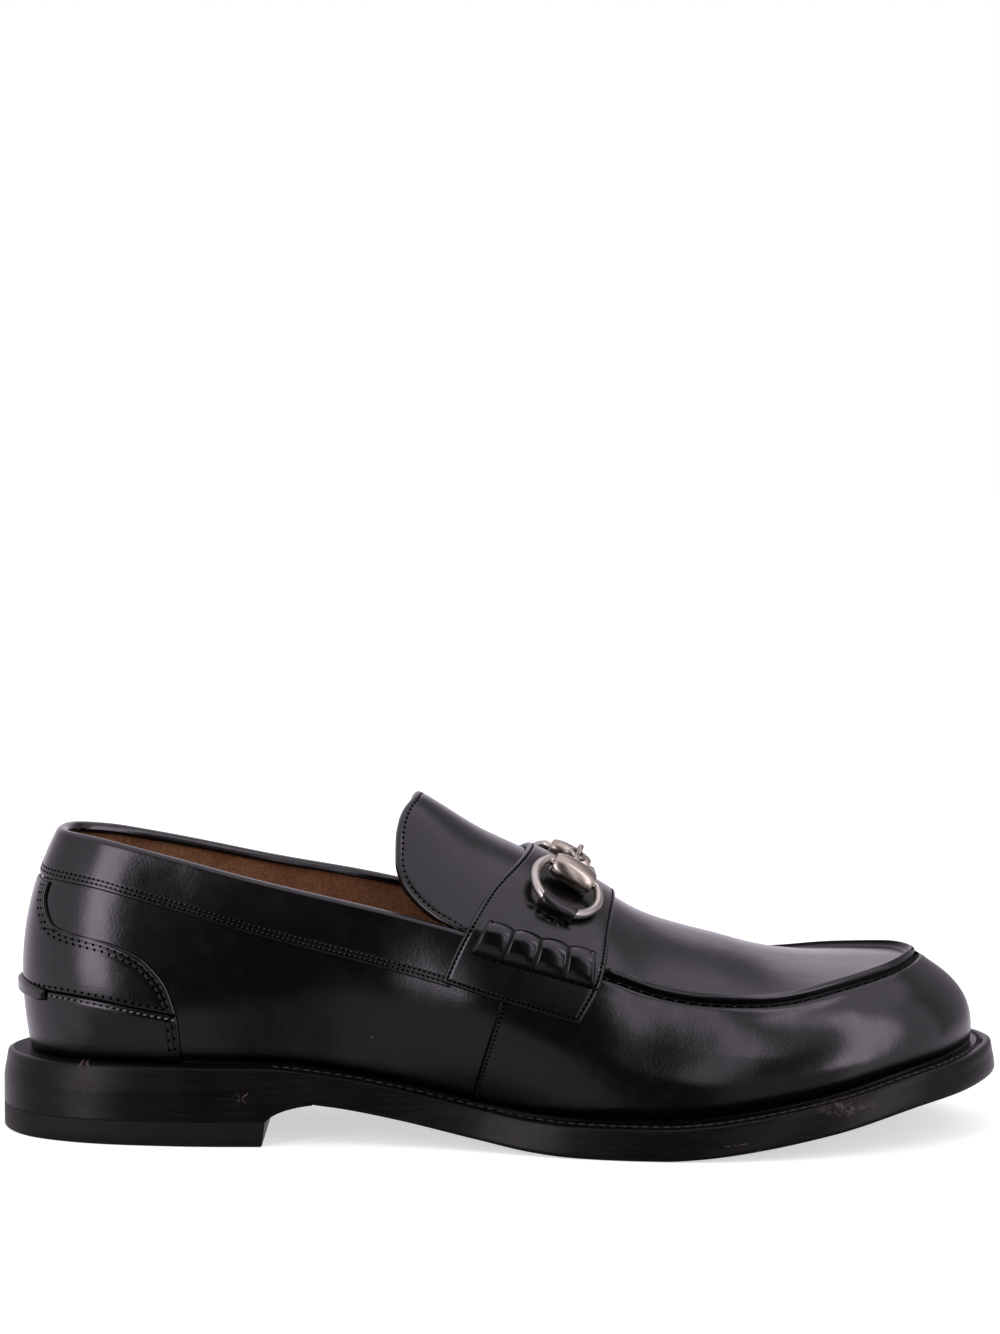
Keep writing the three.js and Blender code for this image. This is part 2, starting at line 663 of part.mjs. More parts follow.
// Closed rings of points joined along a path; the ends are closed by fans, or the last ring joins the
// first.
function sweep(rings, closed) {
  const points = rings.flat();
  const n = rings[0].length;
  const faces = [];
  for (let i = 0; i < (closed ? rings.length : rings.length - 1); i++) {
    for (let k = 0; k < n; k++) {
      const next = (i + 1) % rings.length;
      const [a, b] = [i * n + k, i * n + ((k + 1) % n)];
      const [c, d] = [next * n + ((k + 1) % n), next * n + k];
      faces.push(a, b, c, a, c, d);
    }
  }
  if (!closed) {
    for (let k = 1; k < n - 1; k++) {
      const start = (rings.length - 1) * n;
      faces.push(0, k + 1, k, start, start + k, start + k + 1);
    }
  }
  const solid = solidOf(points, faces);
  return solid.volume() > 0 ? solid : solidOf(points, faces.reverse());
}
const circle = (centre, first, second, radius, sides, turn = 0) =>
  Array.from({ length: sides }, (_, k) => {
    const angle = (2 * Math.PI * (k + turn)) / sides;
    return centre
      .clone()
      .addScaledVector(first, radius * Math.cos(angle))
      .addScaledVector(second, radius * Math.sin(angle));
  });

// A side roll: one tube gathered into lobes by whip stitches, lying over the shoulder line on the strap.
function sideRoll(side) {
  const ends = rollEnds.map(sidePoint);
  const rings = [];
  const stops = [0.03, 0.25, 0.5, 0.75, 0.97];
  const swell = [1 - rollGroove / rollHeight, 0.96, 1, 0.96, 1 - rollGroove / rollHeight];
  const at = (share) => {
    const p = ends[0].clone().lerp(ends[1], share);
    return meet(new THREE.Vector3(p.x, side * reach, p.y), new THREE.Vector3(0, -side, 0));
  };
  for (let lobe = 0; lobe < rollLobes; lobe++) {
    stops.forEach((stop, k) => {
      const share = (lobe + stop) / rollLobes;
      const { point, normal } = at(share);
      const ahead = at(share + 0.02).point.sub(at(share - 0.02).point).normalize();
      const out = normal.addScaledVector(ahead, -normal.dot(ahead)).normalize();
      const across = new THREE.Vector3().crossVectors(out, ahead);
      const ring = [];
      for (let j = 0; j <= 8; j++) {
        const angle = (Math.PI * j) / 8;
        const wide = (rollWidth / 2) * Math.cos(angle) * (0.4 + 0.6 * swell[k]);
        const high = rollHeight * swell[k] * Math.sin(angle);
        ring.push(point.clone().addScaledVector(across, wide).addScaledVector(out, high));
      }
      ring.push(ring[8].clone().addScaledVector(out, -2), ring[0].clone().addScaledVector(out, -2));
      rings.push(ring);
    });
  }
  return sweep(rings, false).subtract(aboveStrap);
}

// The bit on one side. Its frame: forward along the instep's slope, square off the instep, and out to the
// side.
const bitX = bitAlong * soleLength;
const slope = Math.atan2(ridgeHeight(bitX - 8) - ridgeHeight(bitX + 8), 16);
const forward = new THREE.Vector3(Math.cos(slope), 0, -Math.sin(slope));
const square = new THREE.Vector3(Math.sin(slope), 0, Math.cos(slope));
const crest = meet(new THREE.Vector3(bitX, ridgeSide(bitX), 200), new THREE.Vector3(0, 0, -1)).point;
const wireRadius = ringWire / 2;
const ringRadius = (ringDiameter - ringWire) / 2;
const ringCord = barrelLength / 2 + 1.6; // half of the ring's straight part, which runs through the barrel
const ringSet = Math.sqrt(ringRadius ** 2 - ringCord ** 2); // the ring's middle to the barrel's axis
const eyeHeight = eyeRadius + eyeWire / 2 + 2 * gap;
const eyeMiddle = crest.clone().addScaledVector(square, eyeHeight);

function bitSide(side) {
  const out = new THREE.Vector3(0, side, 0);
  const beside = crest.clone().addScaledVector(out, barrelSpread).addScaledVector(square, 40);
  const seat = meet(beside, square.clone().negate());
  const lean = seat.normal.addScaledVector(forward, -seat.normal.dot(forward)).normalize();
  const axis = seat.point.clone().addScaledVector(lean, barrelThickness / 2 + 2 * gap);

  // The ring swings down about the barrel until its wire rests on the strap.
  const wireAt = (swing, angle) => {
    const way = out.clone().multiplyScalar(Math.cos(swing)).addScaledVector(square, -Math.sin(swing));
    return axis
      .clone()
      .addScaledVector(way, ringSet - ringRadius * Math.cos(angle))
      .addScaledVector(forward, ringRadius * Math.sin(angle));
  };
  const clearance = (swing) => {
    let least = reach;
    for (let k = 3; k <= 13; k++) {
      const spot = wireAt(swing, (Math.PI * k) / 8);
      const foot = meet(spot.clone().addScaledVector(square, 40), square.clone().negate());
      least = Math.min(least, foot.normal.dot(spot.sub(foot.point)));
    }
    return least;
  };
  let [shallow, steep] = [0, 1.3];
  for (let k = 0; k < 30; k++) {
    const middle = (shallow + steep) / 2;
    if (clearance(middle) > wireRadius + 1.5 * gap) shallow = middle;
    else steep = middle;
  }
  const down = out.clone().multiplyScalar(Math.cos(shallow)).addScaledVector(square, -Math.sin(shallow));
  const off = new THREE.Vector3().crossVectors(forward, down).multiplyScalar(-side);
  if (off.dot(square) < 0) off.negate();
  const ringMiddle = axis.clone().addScaledVector(down, ringSet);
  const opened = Math.asin(ringCord / ringRadius);
  const ringRings = [];
  const arcSteps = 26;
  for (let k = 0; k <= arcSteps; k++) {
    const angle = opened + ((2 * Math.PI - 2 * opened) * k) / arcSteps;
    const outward = forward.clone().multiplyScalar(Math.sin(angle)).addScaledVector(down, -Math.cos(angle));
    const centre = ringMiddle.clone().addScaledVector(outward, ringRadius);
    const mitred = k === 0 || k === arcSteps;
    const across = mitred ? outward.clone().sub(down).normalize() : outward.clone();
    const stretch = mitred ? 1 / Math.cos(opened / 2) : 1;
    ringRings.push(circle(centre, across.multiplyScalar(stretch), off, wireRadius, 8, 0.5));
  }
  const ring = sweep(ringRings, true);

  // The barrel, its arm and its eye as one casting, bored for the ring
  const half = barrelLength / 2;
  const profile = [
    { at: -1, share: barrelEndShare },
    { at: -0.72, share: 0.9 },
    { at: -0.3, share: 1 },
    { at: 0.3, share: 1 },
    { at: 0.72, share: 0.9 },
    { at: 1, share: barrelEndShare },
  ];
  const flatter = barrelThickness / barrelWidth;
  const boreRadius = (wireRadius + gap) / Math.cos(Math.PI / 10);
  const around = (distance, radius, sides, squash = 1) => {
    const centre = axis.clone().addScaledVector(forward, distance);
    return circle(centre, down, off.clone().multiplyScalar(squash), radius, sides, 0.5);
  };
  const shell = sweep(
    profile.map((row) => around(row.at * half, (row.share * barrelWidth) / 2, barrelFacets, flatter)),
    false,
  );
  const bore = sweep([around(-half - 1, boreRadius, 10), around(half + 1, boreRadius, 10)], false);
  const eyeCentre = eyeMiddle.clone().addScaledVector(out, eyeRadius / 2);
  const armWay = axis.clone().sub(eyeCentre).normalize();
  const armOff = new THREE.Vector3().crossVectors(armWay, forward).normalize();
  const armStart = eyeCentre.clone().addScaledVector(armWay, eyeRadius);
  const arm = sweep(
    [
      circle(armStart, forward, armOff, eyeWire / 2 + 0.1, 8),
      circle(armStart.clone().lerp(axis, 0.4), forward, armOff, armDiameter * 0.42, 8),
      circle(axis, forward, armOff, armDiameter / 2, 8),
    ],
    false,
  );
  const flat = side < 0 ? forward : new THREE.Vector3().crossVectors(armWay, forward).normalize();
  const eyeSide = side < 0 ? armOff : forward;
  const eyeRings = [];
  for (let k = 0; k < 16; k++) {
    const angle = (Math.PI * k) / 8;
    const outward = armWay.clone().multiplyScalar(Math.cos(angle)).addScaledVector(flat, Math.sin(angle));
    const centre = eyeCentre.clone().addScaledVector(outward, eyeRadius);
    eyeRings.push(circle(centre, outward, eyeSide, eyeWire / 2, 6));
  }
  const barrel = shell.add(arm).subtract(bore).add(sweep(eyeRings, true));

  // The keeper: a strip of leather from inside the ring, over its wire and down outside it
  const farMiddle = wireAt(shallow, Math.PI);
  const inner = wireRadius + gap;
  const outer = inner + keeperThickness;
  const bow = ringRadius - Math.sqrt(ringRadius ** 2 - (keeperWidth / 2) ** 2) + 2 * gap;
  const deep = -wireRadius - 4;
  const outline = [
    [outer, deep],
    [outer, 0.25 * outer],
    [0.8 * outer, 0.72 * outer],
    [0.4 * outer, outer],
    [-bow, outer],
    [-bow - 0.7 * outer, 0.55 * outer],
    [-bow - 1.5 * outer, -0.9 * outer],
    [-bow - 1.5 * outer, deep],
    [-bow - 1.1 * inner, deep],
    [-bow - 1.1 * inner, -0.4 * inner],
    [-bow - 0.55 * inner, inner],
    [0.42 * inner, inner],
    [0.85 * inner, 0.7 * inner],
    [inner, 0.2 * inner],
    [inner, deep],
  ];
  const keeperRing = (shift) =>
    outline.map(([a, n]) =>
      farMiddle.clone().addScaledVector(down, a).addScaledVector(off, n).addScaledVector(forward, shift),
    );
  const acrossStrip = forward.clone().multiplyScalar(keeperWidth);
  const keeper = extruded(keeperRing(-keeperWidth / 2), outline, acrossStrip);
  return { ring, barrel, keeper: keeper.subtract(aboveStrap) };
}
// A flat outline, given as places in space and as flat pairs of numbers, carried along a straight way.
function extruded(ring, outline, way) {
  const flat = outline.map(([a, b]) => new THREE.Vector2(a, b));
  const triangles = THREE.ShapeUtils.triangulateShape(flat, []);
  const n = ring.length;
  const points = [...ring, ...ring.map((p) => p.clone().add(way))];
  const faces = [];
  for (const [a, b, c] of triangles) faces.push(a, b, c, n + a, n + c, n + b);
  const turn = THREE.ShapeUtils.area(flat) > 0 ? 1 : -1;
  for (let k = 0; k < n; k++) {
    const next = (k + 1) % n;
    if (turn > 0) faces.push(k, n + next, next, k, n + k, n + next);
    else faces.push(k, next, n + next, k, n + next, n + k);
  }
  const solid = solidOf(points, faces);
  return solid.volume() > 0 ? solid : solidOf(points, faces.reverse());
}
const outerBit = bitSide(-1);
const innerBit = bitSide(1);

const leather = new THREE.MeshStandardMaterial({ color: 0x141316, roughness: 0.25, metalness: 0 });
const soleBlack = new THREE.MeshStandardMaterial({ color: 0x1b1719, roughness: 0.5, metalness: 0 });
const metal = new THREE.MeshStandardMaterial({ color: 0x9a948c, roughness: 0.3, metalness: 1 });
const tan = new THREE.MeshStandardMaterial({ color: 0x8a5a33, roughness: 0.9, metalness: 0 });

const group = new THREE.Group();
const solids = {};
function add(name, solid, material) {
  solids[name] = solid.simplify(evenness);
  const mesh = new THREE.Mesh(geometryOf(solids[name]), material);
  mesh.name = name;
  group.add(mesh);
}
add("outsole", outsole, soleBlack);
add("welt", welt, soleBlack);
add("insole", insole, tan);
add("heel_stack", heelStack, soleBlack);
add("top_lift", topLift, soleBlack);
add("upper", upper, leather);
add("tongue", tongue, leather);
add("saddle_strap", saddleStrap, leather);
add("collar_band", collarBand, leather);
add("heel_counter", heelCounter, leather);
add("heel_foxing", heelFoxing, leather);
add("heel_tab", heelTab, leather);
add("roll_outer", sideRoll(-1), leather);
add("roll_inner", sideRoll(1), leather);
add("bit_ring_outer", outerBit.ring, metal);
add("bit_ring_inner", innerBit.ring, metal);
add("bit_barrel_outer", outerBit.barrel, metal);
add("bit_barrel_inner", innerBit.barrel, metal);
add("keeper_outer", outerBit.keeper, leather);
add("keeper_inner", innerBit.keeper, leather);

// The frame: the middle of the shoe's box lies over the origin and its underside on the floor.
const box = new THREE.Box3().setFromObject(group);
for (const mesh of group.children) {
  mesh.geometry.translate(-(box.min.x + box.max.x) / 2, -(box.min.y + box.max.y) / 2, -box.min.z);
}

export default group;
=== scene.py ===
import math

import bmesh
import bpy
import numpy as np
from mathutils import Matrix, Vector
from mathutils.bvhtree import BVHTree
from mathutils.kdtree import KDTree


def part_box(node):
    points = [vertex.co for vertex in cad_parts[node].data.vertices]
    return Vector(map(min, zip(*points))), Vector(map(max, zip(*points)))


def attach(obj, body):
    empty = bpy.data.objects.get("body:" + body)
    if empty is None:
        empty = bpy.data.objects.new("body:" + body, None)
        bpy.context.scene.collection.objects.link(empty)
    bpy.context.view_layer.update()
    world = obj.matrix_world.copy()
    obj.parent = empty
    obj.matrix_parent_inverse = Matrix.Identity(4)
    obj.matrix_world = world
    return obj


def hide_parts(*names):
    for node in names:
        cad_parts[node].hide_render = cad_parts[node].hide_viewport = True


# A black leather bit loafer, right foot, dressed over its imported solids.
# The leather pieces follow the same last as the solids: tables of shares of the named sizes, in millimetres.
# X runs from the heel's back to the toe, Y from the outer side (minus) to the inner side (plus), Z up.

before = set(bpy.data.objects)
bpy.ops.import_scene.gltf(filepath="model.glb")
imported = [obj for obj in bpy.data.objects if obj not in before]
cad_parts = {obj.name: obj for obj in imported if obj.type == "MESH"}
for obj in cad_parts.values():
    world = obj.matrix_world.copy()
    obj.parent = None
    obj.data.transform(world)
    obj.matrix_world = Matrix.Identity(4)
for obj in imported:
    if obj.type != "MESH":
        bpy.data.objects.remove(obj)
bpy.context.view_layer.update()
mm = 0.001

last = {
    "soleLength": 302.8,
    "ballWidth": 109.0,
    "collarHeight": 91.5,
    "instepHeight": 84.0,
    "heelHeight": 14.5,
    "toeSpring": 17.0,
    "outsole": 5.4,
    "welt": 3.8,
    "gap": 0.3,
    "upperWall": 1.8,
    "heelFan": 0.13,  # share of the length about which the heel's sections turn
    "wallAbove": 1.2,  # the wall runs on over the topline
    "collarEnd": 0.46,  # share of the length where the collar ends
    "stations": 300,  # on each half of the outline
    "wallRows": 46,
    "roofRows": 40,
    "crowding": 1.7,  # over 1, rows lie closer together near the shoulder
    "smoothing": 2.6,  # stations over which the surface is evened out
}
length = last["soleLength"]
width = last["ballWidth"]
collar = last["collarHeight"]


def table(names, *rows):
    return dict(zip(names.split(), (np.array(column, float) for column in zip(*rows))))


soleOutline = [  # shares of the length and the ball width, down the outer side and back up the inner side
    (0, 0), (0.026, -0.172), (0.085, -0.268), (0.185, -0.318), (0.28, -0.325), (0.37, -0.325),
    (0.47, -0.378), (0.57, -0.466), (0.68, -0.51), (0.79, -0.486), (0.88, -0.408), (0.956, -0.262),
    (1, 0.025), (0.963, 0.285), (0.89, 0.395), (0.8, 0.462), (0.71, 0.49), (0.62, 0.462),
    (0.51, 0.352), (0.4, 0.275), (0.29, 0.285), (0.185, 0.308), (0.085, 0.266), (0.026, 0.172),
]
soleBottom = table(
    "along heel toe",
    (0, 1, 0), (0.27, 0.97, 0), (0.33, 0.83, 0), (0.4, 0.575, 0), (0.48, 0.24, 0), (0.53, 0.07, 0),
    (0.57, 0.012, 0), (0.61, 0, 0), (0.66, 0, 0.005), (0.69, 0, 0.04), (0.72, 0, 0.1), (0.82, 0, 0.41),
    (0.92, 0, 0.82), (1, 0, 1),
)
insets = table(  # how far inside the outline the upper meets the welt, and the shoulder line on either side
    "along ledge outer inner",
    (0, 0.09, 0.19, 0.19), (0.026, 0.083, 0.158, 0.158), (0.085, 0.07, 0.137, 0.135),
    (0.185, 0.064, 0.102, 0.092), (0.28, 0.06, 0.05, 0.01), (0.37, 0.058, 0.01, -0.045),
    (0.47, 0.062, 0.012, -0.03), (0.57, 0.077, 0.081, 0.072), (0.65, 0.09, 0.123, 0.12),
    (0.74, 0.093, 0.155, 0.152), (0.87, 0.09, 0.205, 0.205), (0.95, 0.084, 0.225, 0.225),
    (1, 0.078, 0.237, 0.237),
)
shoulderRise = table(
    "along outer inner",
    (0.07, 1, 1), (0.104, 0.986, 0.984), (0.141, 0.961, 0.958), (0.18, 0.932, 0.929),
    (0.265, 0.865, 0.861), (0.39, 0.776, 0.776), (0.464, 0.718, 0.718), (0.546, 0.636, 0.638),
    (0.609, 0.579, 0.588), (0.647, 0.53, 0.548), (0.7, 0.495, 0.511), (0.762, 0.482, 0.508),
    (0.838, 0.517, 0.54), (0.914, 0.566, 0.566),
)
ridgeRise = table(
    "along height side",
    (0.13, 1.5, 0), (0.3, 1.4, 0), (0.423, 1.205, 0), (0.481, 1.075, 0), (0.52, 1.01, 0.001),
    (0.552, 0.952, 0.002), (0.6, 0.848, 0.003), (0.642, 0.758, 0.004), (0.722, 0.674, 0.008),
    (0.768, 0.63, 0.011), (0.82, 0.61, 0.013), (0.914, 0.611, 0.018),
)
wallShape = table(
    "along lean arrive low high",
    (0, 10, 60, 0.3, 0.42), (0.08, 14, 64, 0.32, 0.4), (0.2, 20, 74, 0.32, 0.36),
    (0.35, 24, 84, 0.34, 0.34), (0.47, 28, 70, 0.36, 0.36), (0.56, 24, 63, 0.4, 0.38),
    (0.65, 22, 60, 0.42, 0.38), (0.8, 20, 45, 0.44, 0.44), (1, 6, 28, 0.42, 0.66),
)
# Edges in the side view: how far along they lie at each share of the collar height
tongueEdge = table(
    "up along",
    (0.6, 0.5), (0.7, 0.466), (0.755, 0.437), (0.802, 0.418), (0.862, 0.404), (0.93, 0.399),
    (1, 0.3995), (1.05, 0.4025), (1.085, 0.4075), (1.108, 0.4145), (1.19, 0.43),
)
tongueInner = table(
    "up along",
    (0.6, 0.5), (0.7, 0.466), (0.755, 0.437), (0.802, 0.418), (0.862, 0.405), (0.93, 0.4035),
    (1, 0.407), (1.05, 0.4125), (1.085, 0.4155), (1.108, 0.4175), (1.19, 0.433),
)
throat = table("up along", (0.6, 0.496), (0.72, 0.51), (0.93, 0.565), (1.4, 0.6))
strapRear = table(
    "up along",
    (0.5, 0.44), (0.553, 0.445), (0.64, 0.456), (0.722, 0.469), (0.82, 0.489), (0.949, 0.533), (1.06, 0.545),
)
strapFront = table(
    "up along",
    (0.38, 0.569), (0.427, 0.576), (0.535, 0.595), (0.607, 0.602), (0.7, 0.607), (0.775, 0.615), (0.9, 0.63),
)
strapLow = table("along up", (0.44, 0.561), (0.58, 0.423))
counterEdge = table(
    "up along",
    (0.2, 0.19), (0.39, 0.187), (0.505, 0.178), (0.6, 0.155), (0.655, 0.12), (0.673, 0.088),
    (0.705, 0.062), (0.775, 0.055), (0.86, 0.063),
)
foxingTop = table("along up", (-0.02, 0.482), (0.056, 0.482), (0.171, 0.432), (0.22, 0.4))
tabLow = table("along up", (-0.02, 0.456), (0.03, 0.455), (0.05, 0.45), (0.056, 0.453))
tabHigh = table("along up", (-0.02, 0.508), (0.03, 0.504), (0.05, 0.494), (0.056, 0.488))
vampRear = table(
    "up along",
    (0.1, 0.468), (0.24, 0.478), (0.4, 0.492), (0.5, 0.5), (0.6, 0.503), (0.72, 0.512), (0.93, 0.565),
    (1.4, 0.6),
)


def read(rows, column, at, key="along"):
    # a smooth curve through a table's rows, without overshoot
    x, y = rows[key], rows[column]
    rise = np.diff(y) / np.diff(x)
    both = rise[:-1] * rise[1:]
    total = np.where(both > 0, rise[:-1] + rise[1:], 1)
    slope = np.concatenate([rise[:1], np.where(both > 0, 2 * both / total, 0), rise[-1:]])
    at = np.clip(at, x[0], x[-1])
    i = np.clip(np.searchsorted(x, at, side="right") - 1, 0, len(x) - 2)
    span = x[i + 1] - x[i]
    t = (at - x[i]) / span
    u = 1 - t
    start = y[i] * (1 + 2 * t) * u * u + slope[i] * span * t * u * u
    return start + y[i + 1] * (3 - 2 * t) * t * t - slope[i + 1] * span * t * t * u


def unit(vectors):
    return vectors / np.maximum(np.linalg.norm(vectors, axis=-1, keepdims=True), 1e-9)


def ease(share):
    return share * share * (3 - 2 * share)


def hump(away, middle, reach):
    # 1 at the middle, falling off to both sides
    return np.exp(-(((away - middle) / reach) ** 2))


def rounded(distance, radius):
    return np.sqrt(np.clip(1 - (1 - np.minimum(distance, radius) / radius) ** 2, 0, 1))


def evenOut(values, spread):
    # evens a closed row of values out along its first axis
    reach = int(spread * 3) + 1
    steps = np.arange(-reach, reach + 1)
    weights = np.exp(-0.5 * (steps / spread) ** 2)
    return sum(w * np.roll(values, -s, axis=0) for s, w in zip(steps, weights / weights.sum()))


def softened(line, reach):
    # a finely divided line with its corners rounded over that many points
    window = 2 * reach + 1
    padded = np.pad(line, ((reach, reach), (0, 0)), mode="edge")
    smooth = np.column_stack([np.convolve(c, np.ones(window) / window, "valid") for c in padded.T])
    calm = np.clip(np.arange(len(line)) / (2 * reach), 0, 1)[:, None]
    return line + (smooth - line) * np.minimum(calm, calm[::-1])


def closedSpline(corners, perSpan):
    # a smooth closed line through the corners
    corners = np.array(corners, float) * (length, width)
    p = [np.roll(corners, k, axis=0) for k in (1, 0, -1, -2)]
    d = [np.sqrt(np.linalg.norm(p[k + 1] - p[k], axis=1))[:, None] for k in range(3)]
    leave = (p[1] - p[0]) / d[0] - (p[2] - p[0]) / (d[0] + d[1]) + (p[2] - p[1]) / d[1]
    arrive = (p[2] - p[1]) / d[1] - (p[3] - p[1]) / (d[1] + d[2]) + (p[3] - p[2]) / d[2]
    a, b = leave * d[1], arrive * d[1]
    cubic = 2 * p[1] - 2 * p[2] + a + b
    square = -3 * p[1] + 3 * p[2] - 2 * a - b
    shares = np.linspace(0, 1, perSpan, endpoint=False)
    return np.stack([((cubic * t + square) * t + a) * t + p[1] for t in shares], axis=1).reshape(-1, 2)


def alongLine(points):
    steps = np.linalg.norm(np.diff(points[..., :3], axis=0), axis=-1)
    return np.concatenate([[0], np.cumsum(steps)])


def atDistances(points, distances):
    # the points of a line at given distances from its start
    run = alongLine(points)
    return np.stack([np.interp(distances, run, points[:, c]) for c in range(points.shape[1])], 1)


def evenly(points, count):
    return atDistances(points, np.linspace(0, alongLine(points)[-1], count))


def between(rows, at):
    # values of an array at fractional places along its first axis
    at = np.clip(at, 0, len(rows) - 1)
    low = np.minimum(at.astype(int), len(rows) - 2)
    part = (at - low).reshape(at.shape + (1,) * (rows.ndim - 1))
    return rows[low] * (1 - part) + rows[low + 1] * part


def over(base, rise):
    return lambda x: base(x) + rise


def bottomHeight(x):
    heel = last["heelHeight"] * read(soleBottom, "heel", x / length)
    return heel + last["toeSpring"] * read(soleBottom, "toe", x / length)


outsoleTop = over(bottomHeight, last["outsole"])
weltLow = over(outsoleTop, last["gap"])
weltTop = over(weltLow, last["welt"])


def byside(rows, x, side):
    return np.where(side < 0, read(rows, "outer", x / length), read(rows, "inner", x / length))


def toplineHeight(x, side):
    return collar * byside(shoulderRise, x, side)


def ridgeHeight(x):
    return last["instepHeight"] * read(ridgeRise, "height", x / length)


def ridgeSide(x):
    return width * read(ridgeRise, "side", x / length)


def lifted(plan, heightOf):
    # points in plan with the height that their place along gives them
    return np.column_stack([plan, heightOf(plan[:, 0])])


# The sole's outline in even steps: outer half from heel to toe, then the inner half back
halfSteps = last["stations"]
dense = closedSpline(soleOutline, 60)
toeAt = len(dense) // 2
outlineHalves = (dense[: toeAt + 1], np.vstack([dense[toeAt:], dense[:1]]))
outline = evenOut(np.vstack([evenly(half, halfSteps + 1)[:-1] for half in outlineHalves]), last["smoothing"])
stationCount = len(outline)
innerStations = -np.arange(halfSteps + 1)
sideOf = np.where(np.arange(stationCount) <= halfSteps, -1, 1)
ahead = unit(np.roll(outline, -1, axis=0) - np.roll(outline, 1, axis=0))
into = np.stack([-ahead[:, 1], ahead[:, 0]], 1)
ledge = width * read(insets, "ledge", outline[:, 0] / length)

# Where the last's heel back and middle lie in the frame
lastOrigin = np.array([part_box("top_lift")[0][0] / mm, -(outline[:, 1].min() + outline[:, 1].max()) / 2, 0])


def lastSurface():
    # points of every section, from the welt up the wall and over the roof to the spine, with their normals
    along = outline[:, 0] / length
    fan = last["heelFan"]
    turned = ease(np.clip((fan - along) / (fan / 2), 0, 1))[:, None]
    toward = unit(into * (1 - turned) + unit(np.array([fan * length, 0]) - outline) * turned)
    foot = lifted(outline + into * ledge[:, None], over(weltTop, last["gap"]))
    inset = width * byside(insets, outline[:, 0], sideOf)
    shoulder = lifted(outline + toward * inset[:, None], lambda x: toplineHeight(x, sideOf))
    shoulder[:, 2] += last["wallAbove"] * np.clip((0.5 - along) / 0.06, 0, 1)
    rise = shoulder[:, 2] - foot[:, 2]
    lean, arrive = (np.radians(read(wallShape, c, along)) for c in ("lean", "arrive"))
    low, high = (rise * read(wallShape, c, along) for c in ("low", "high"))
    lowHandle = foot + np.column_stack([-into * (low * np.sin(lean))[:, None], low])
    back = -toward * (high * np.cos(arrive))[:, None]
    highHandle = shoulder + np.column_stack([back, -high * np.sin(arrive)])

    rows = last["wallRows"]
    t = np.linspace(0, 1, 200)[:, None, None]
    u = 1 - t
    curves = u**3 * foot + 3 * u * u * t * lowHandle + 3 * u * t * t * highHandle + t**3 * shoulder
    shares = 1 - (np.arange(rows, -1, -1) / rows) ** last["crowding"]
    wall = np.stack([atDistances(line, alongLine(line)[-1] * shares) for line in np.swapaxes(curves, 0, 1)])

    mate = -np.arange(stationCount)
    x = (shoulder[:, 0] + shoulder[mate, 0]) / 2
    spine = np.column_stack([x, ridgeSide(x), ridgeHeight(x)])
    share = 1 - (np.arange(1, last["roofRows"] + 1) / last["roofRows"]) ** last["crowding"]
    fall = (np.hypot(share, 1) - 1) / (math.sqrt(2) - 1)
    roof = spine[:, None] + (shoulder - spine)[:, None] * share[:, None]
    roof[..., 2] = spine[:, None, 2] + (shoulder - spine)[:, None, 2] * fall
    points = evenOut(np.concatenate([wall, roof], axis=1), last["smoothing"])

    across = np.empty_like(points)
    across[:, 1:-1] = points[:, 2:] - points[:, :-2]
    across[:, 0] = points[:, 1] - points[:, 0]
    across[:, -1] = points[mate, -2] - points[:, -2]
    normals = unit(np.cross(np.roll(points, -1, axis=0) - np.roll(points, 1, axis=0), across))
    # at the toe's tip the plug is level, and its rungs grow too short to tell that
    plug = normals[:, rows + 2:]
    near = np.clip((points[:, rows + 2:, :1] / length - 0.89) / 0.02, 0, 1)
    plug[:] = unit(plug * (1 - near) + np.array([0, 0, 1]) * near)
    return np.concatenate([points, normals], axis=2)


surface = lastSurface()
crestRow = last["wallRows"]
spineRow = surface.shape[1] - 1
sides = {-1: surface[: halfSteps + 1], 1: surface[innerStations]}
print("last: the surface of the leather is ready")


def rowAtHeight(side, heightOf):
    # for each station, the row of the wall that lies at a height given by the place along
    wall = sides[side][:, : crestRow + 1]
    numbers = np.arange(crestRow + 1)
    row = np.full(len(wall), crestRow / 2)
    for _ in range(4):
        x = np.array([np.interp(r, numbers, w[:, 0]) for r, w in zip(row, wall)])
        row = np.array([np.interp(h, w[:, 2], numbers) for h, w in zip(heightOf(x, side), wall)])
    return row


def crossing(line, edge):
    # where a line of points, running from heel to toe, passes an edge given as x for each height
    behind = line[:, 0] - edge(line[:, 2]) < 0
    if not behind.any():
        return 0.0
    i = min(np.nonzero(behind)[0][-1], len(line) - 2)
    a, b = (line[k, 0] - edge(line[k, 2]) for k in (i, i + 1))
    return float(np.clip(i + a / (a - b), 0, len(line) - 1)) if a != b else float(i)


def edgeOf(rows, spare=0.0):
    return lambda z: length * read(rows, "along", z / collar, "up") + spare


def fromEdge(line, edge, count, to=0):
    # points of a line in even steps, from where it passes an edge
    return between(line, np.linspace(crossing(line, edge), to, count))


def bothSides(half):
    # the grid of the outer side, carried on by the inner side's beyond the line that they share
    return np.concatenate([half(-1), half(1)[-2::-1]])


def wallGrid(rowsOf, edge, count):
    # a grid on the wall, from the outer edge round the heel to the inner edge
    def half(side):
        columns = []
        for row in rowsOf(side).T:
            station = np.arange(len(row))
            low = np.minimum(row.astype(int), spineRow - 1)
            part = (row - low)[:, None]
            line = sides[side][station, low] * (1 - part) + sides[side][station, low + 1] * part
            columns.append(fromEdge(line, edge, count))
        return np.stack(columns, 1)

    return bothSides(half)


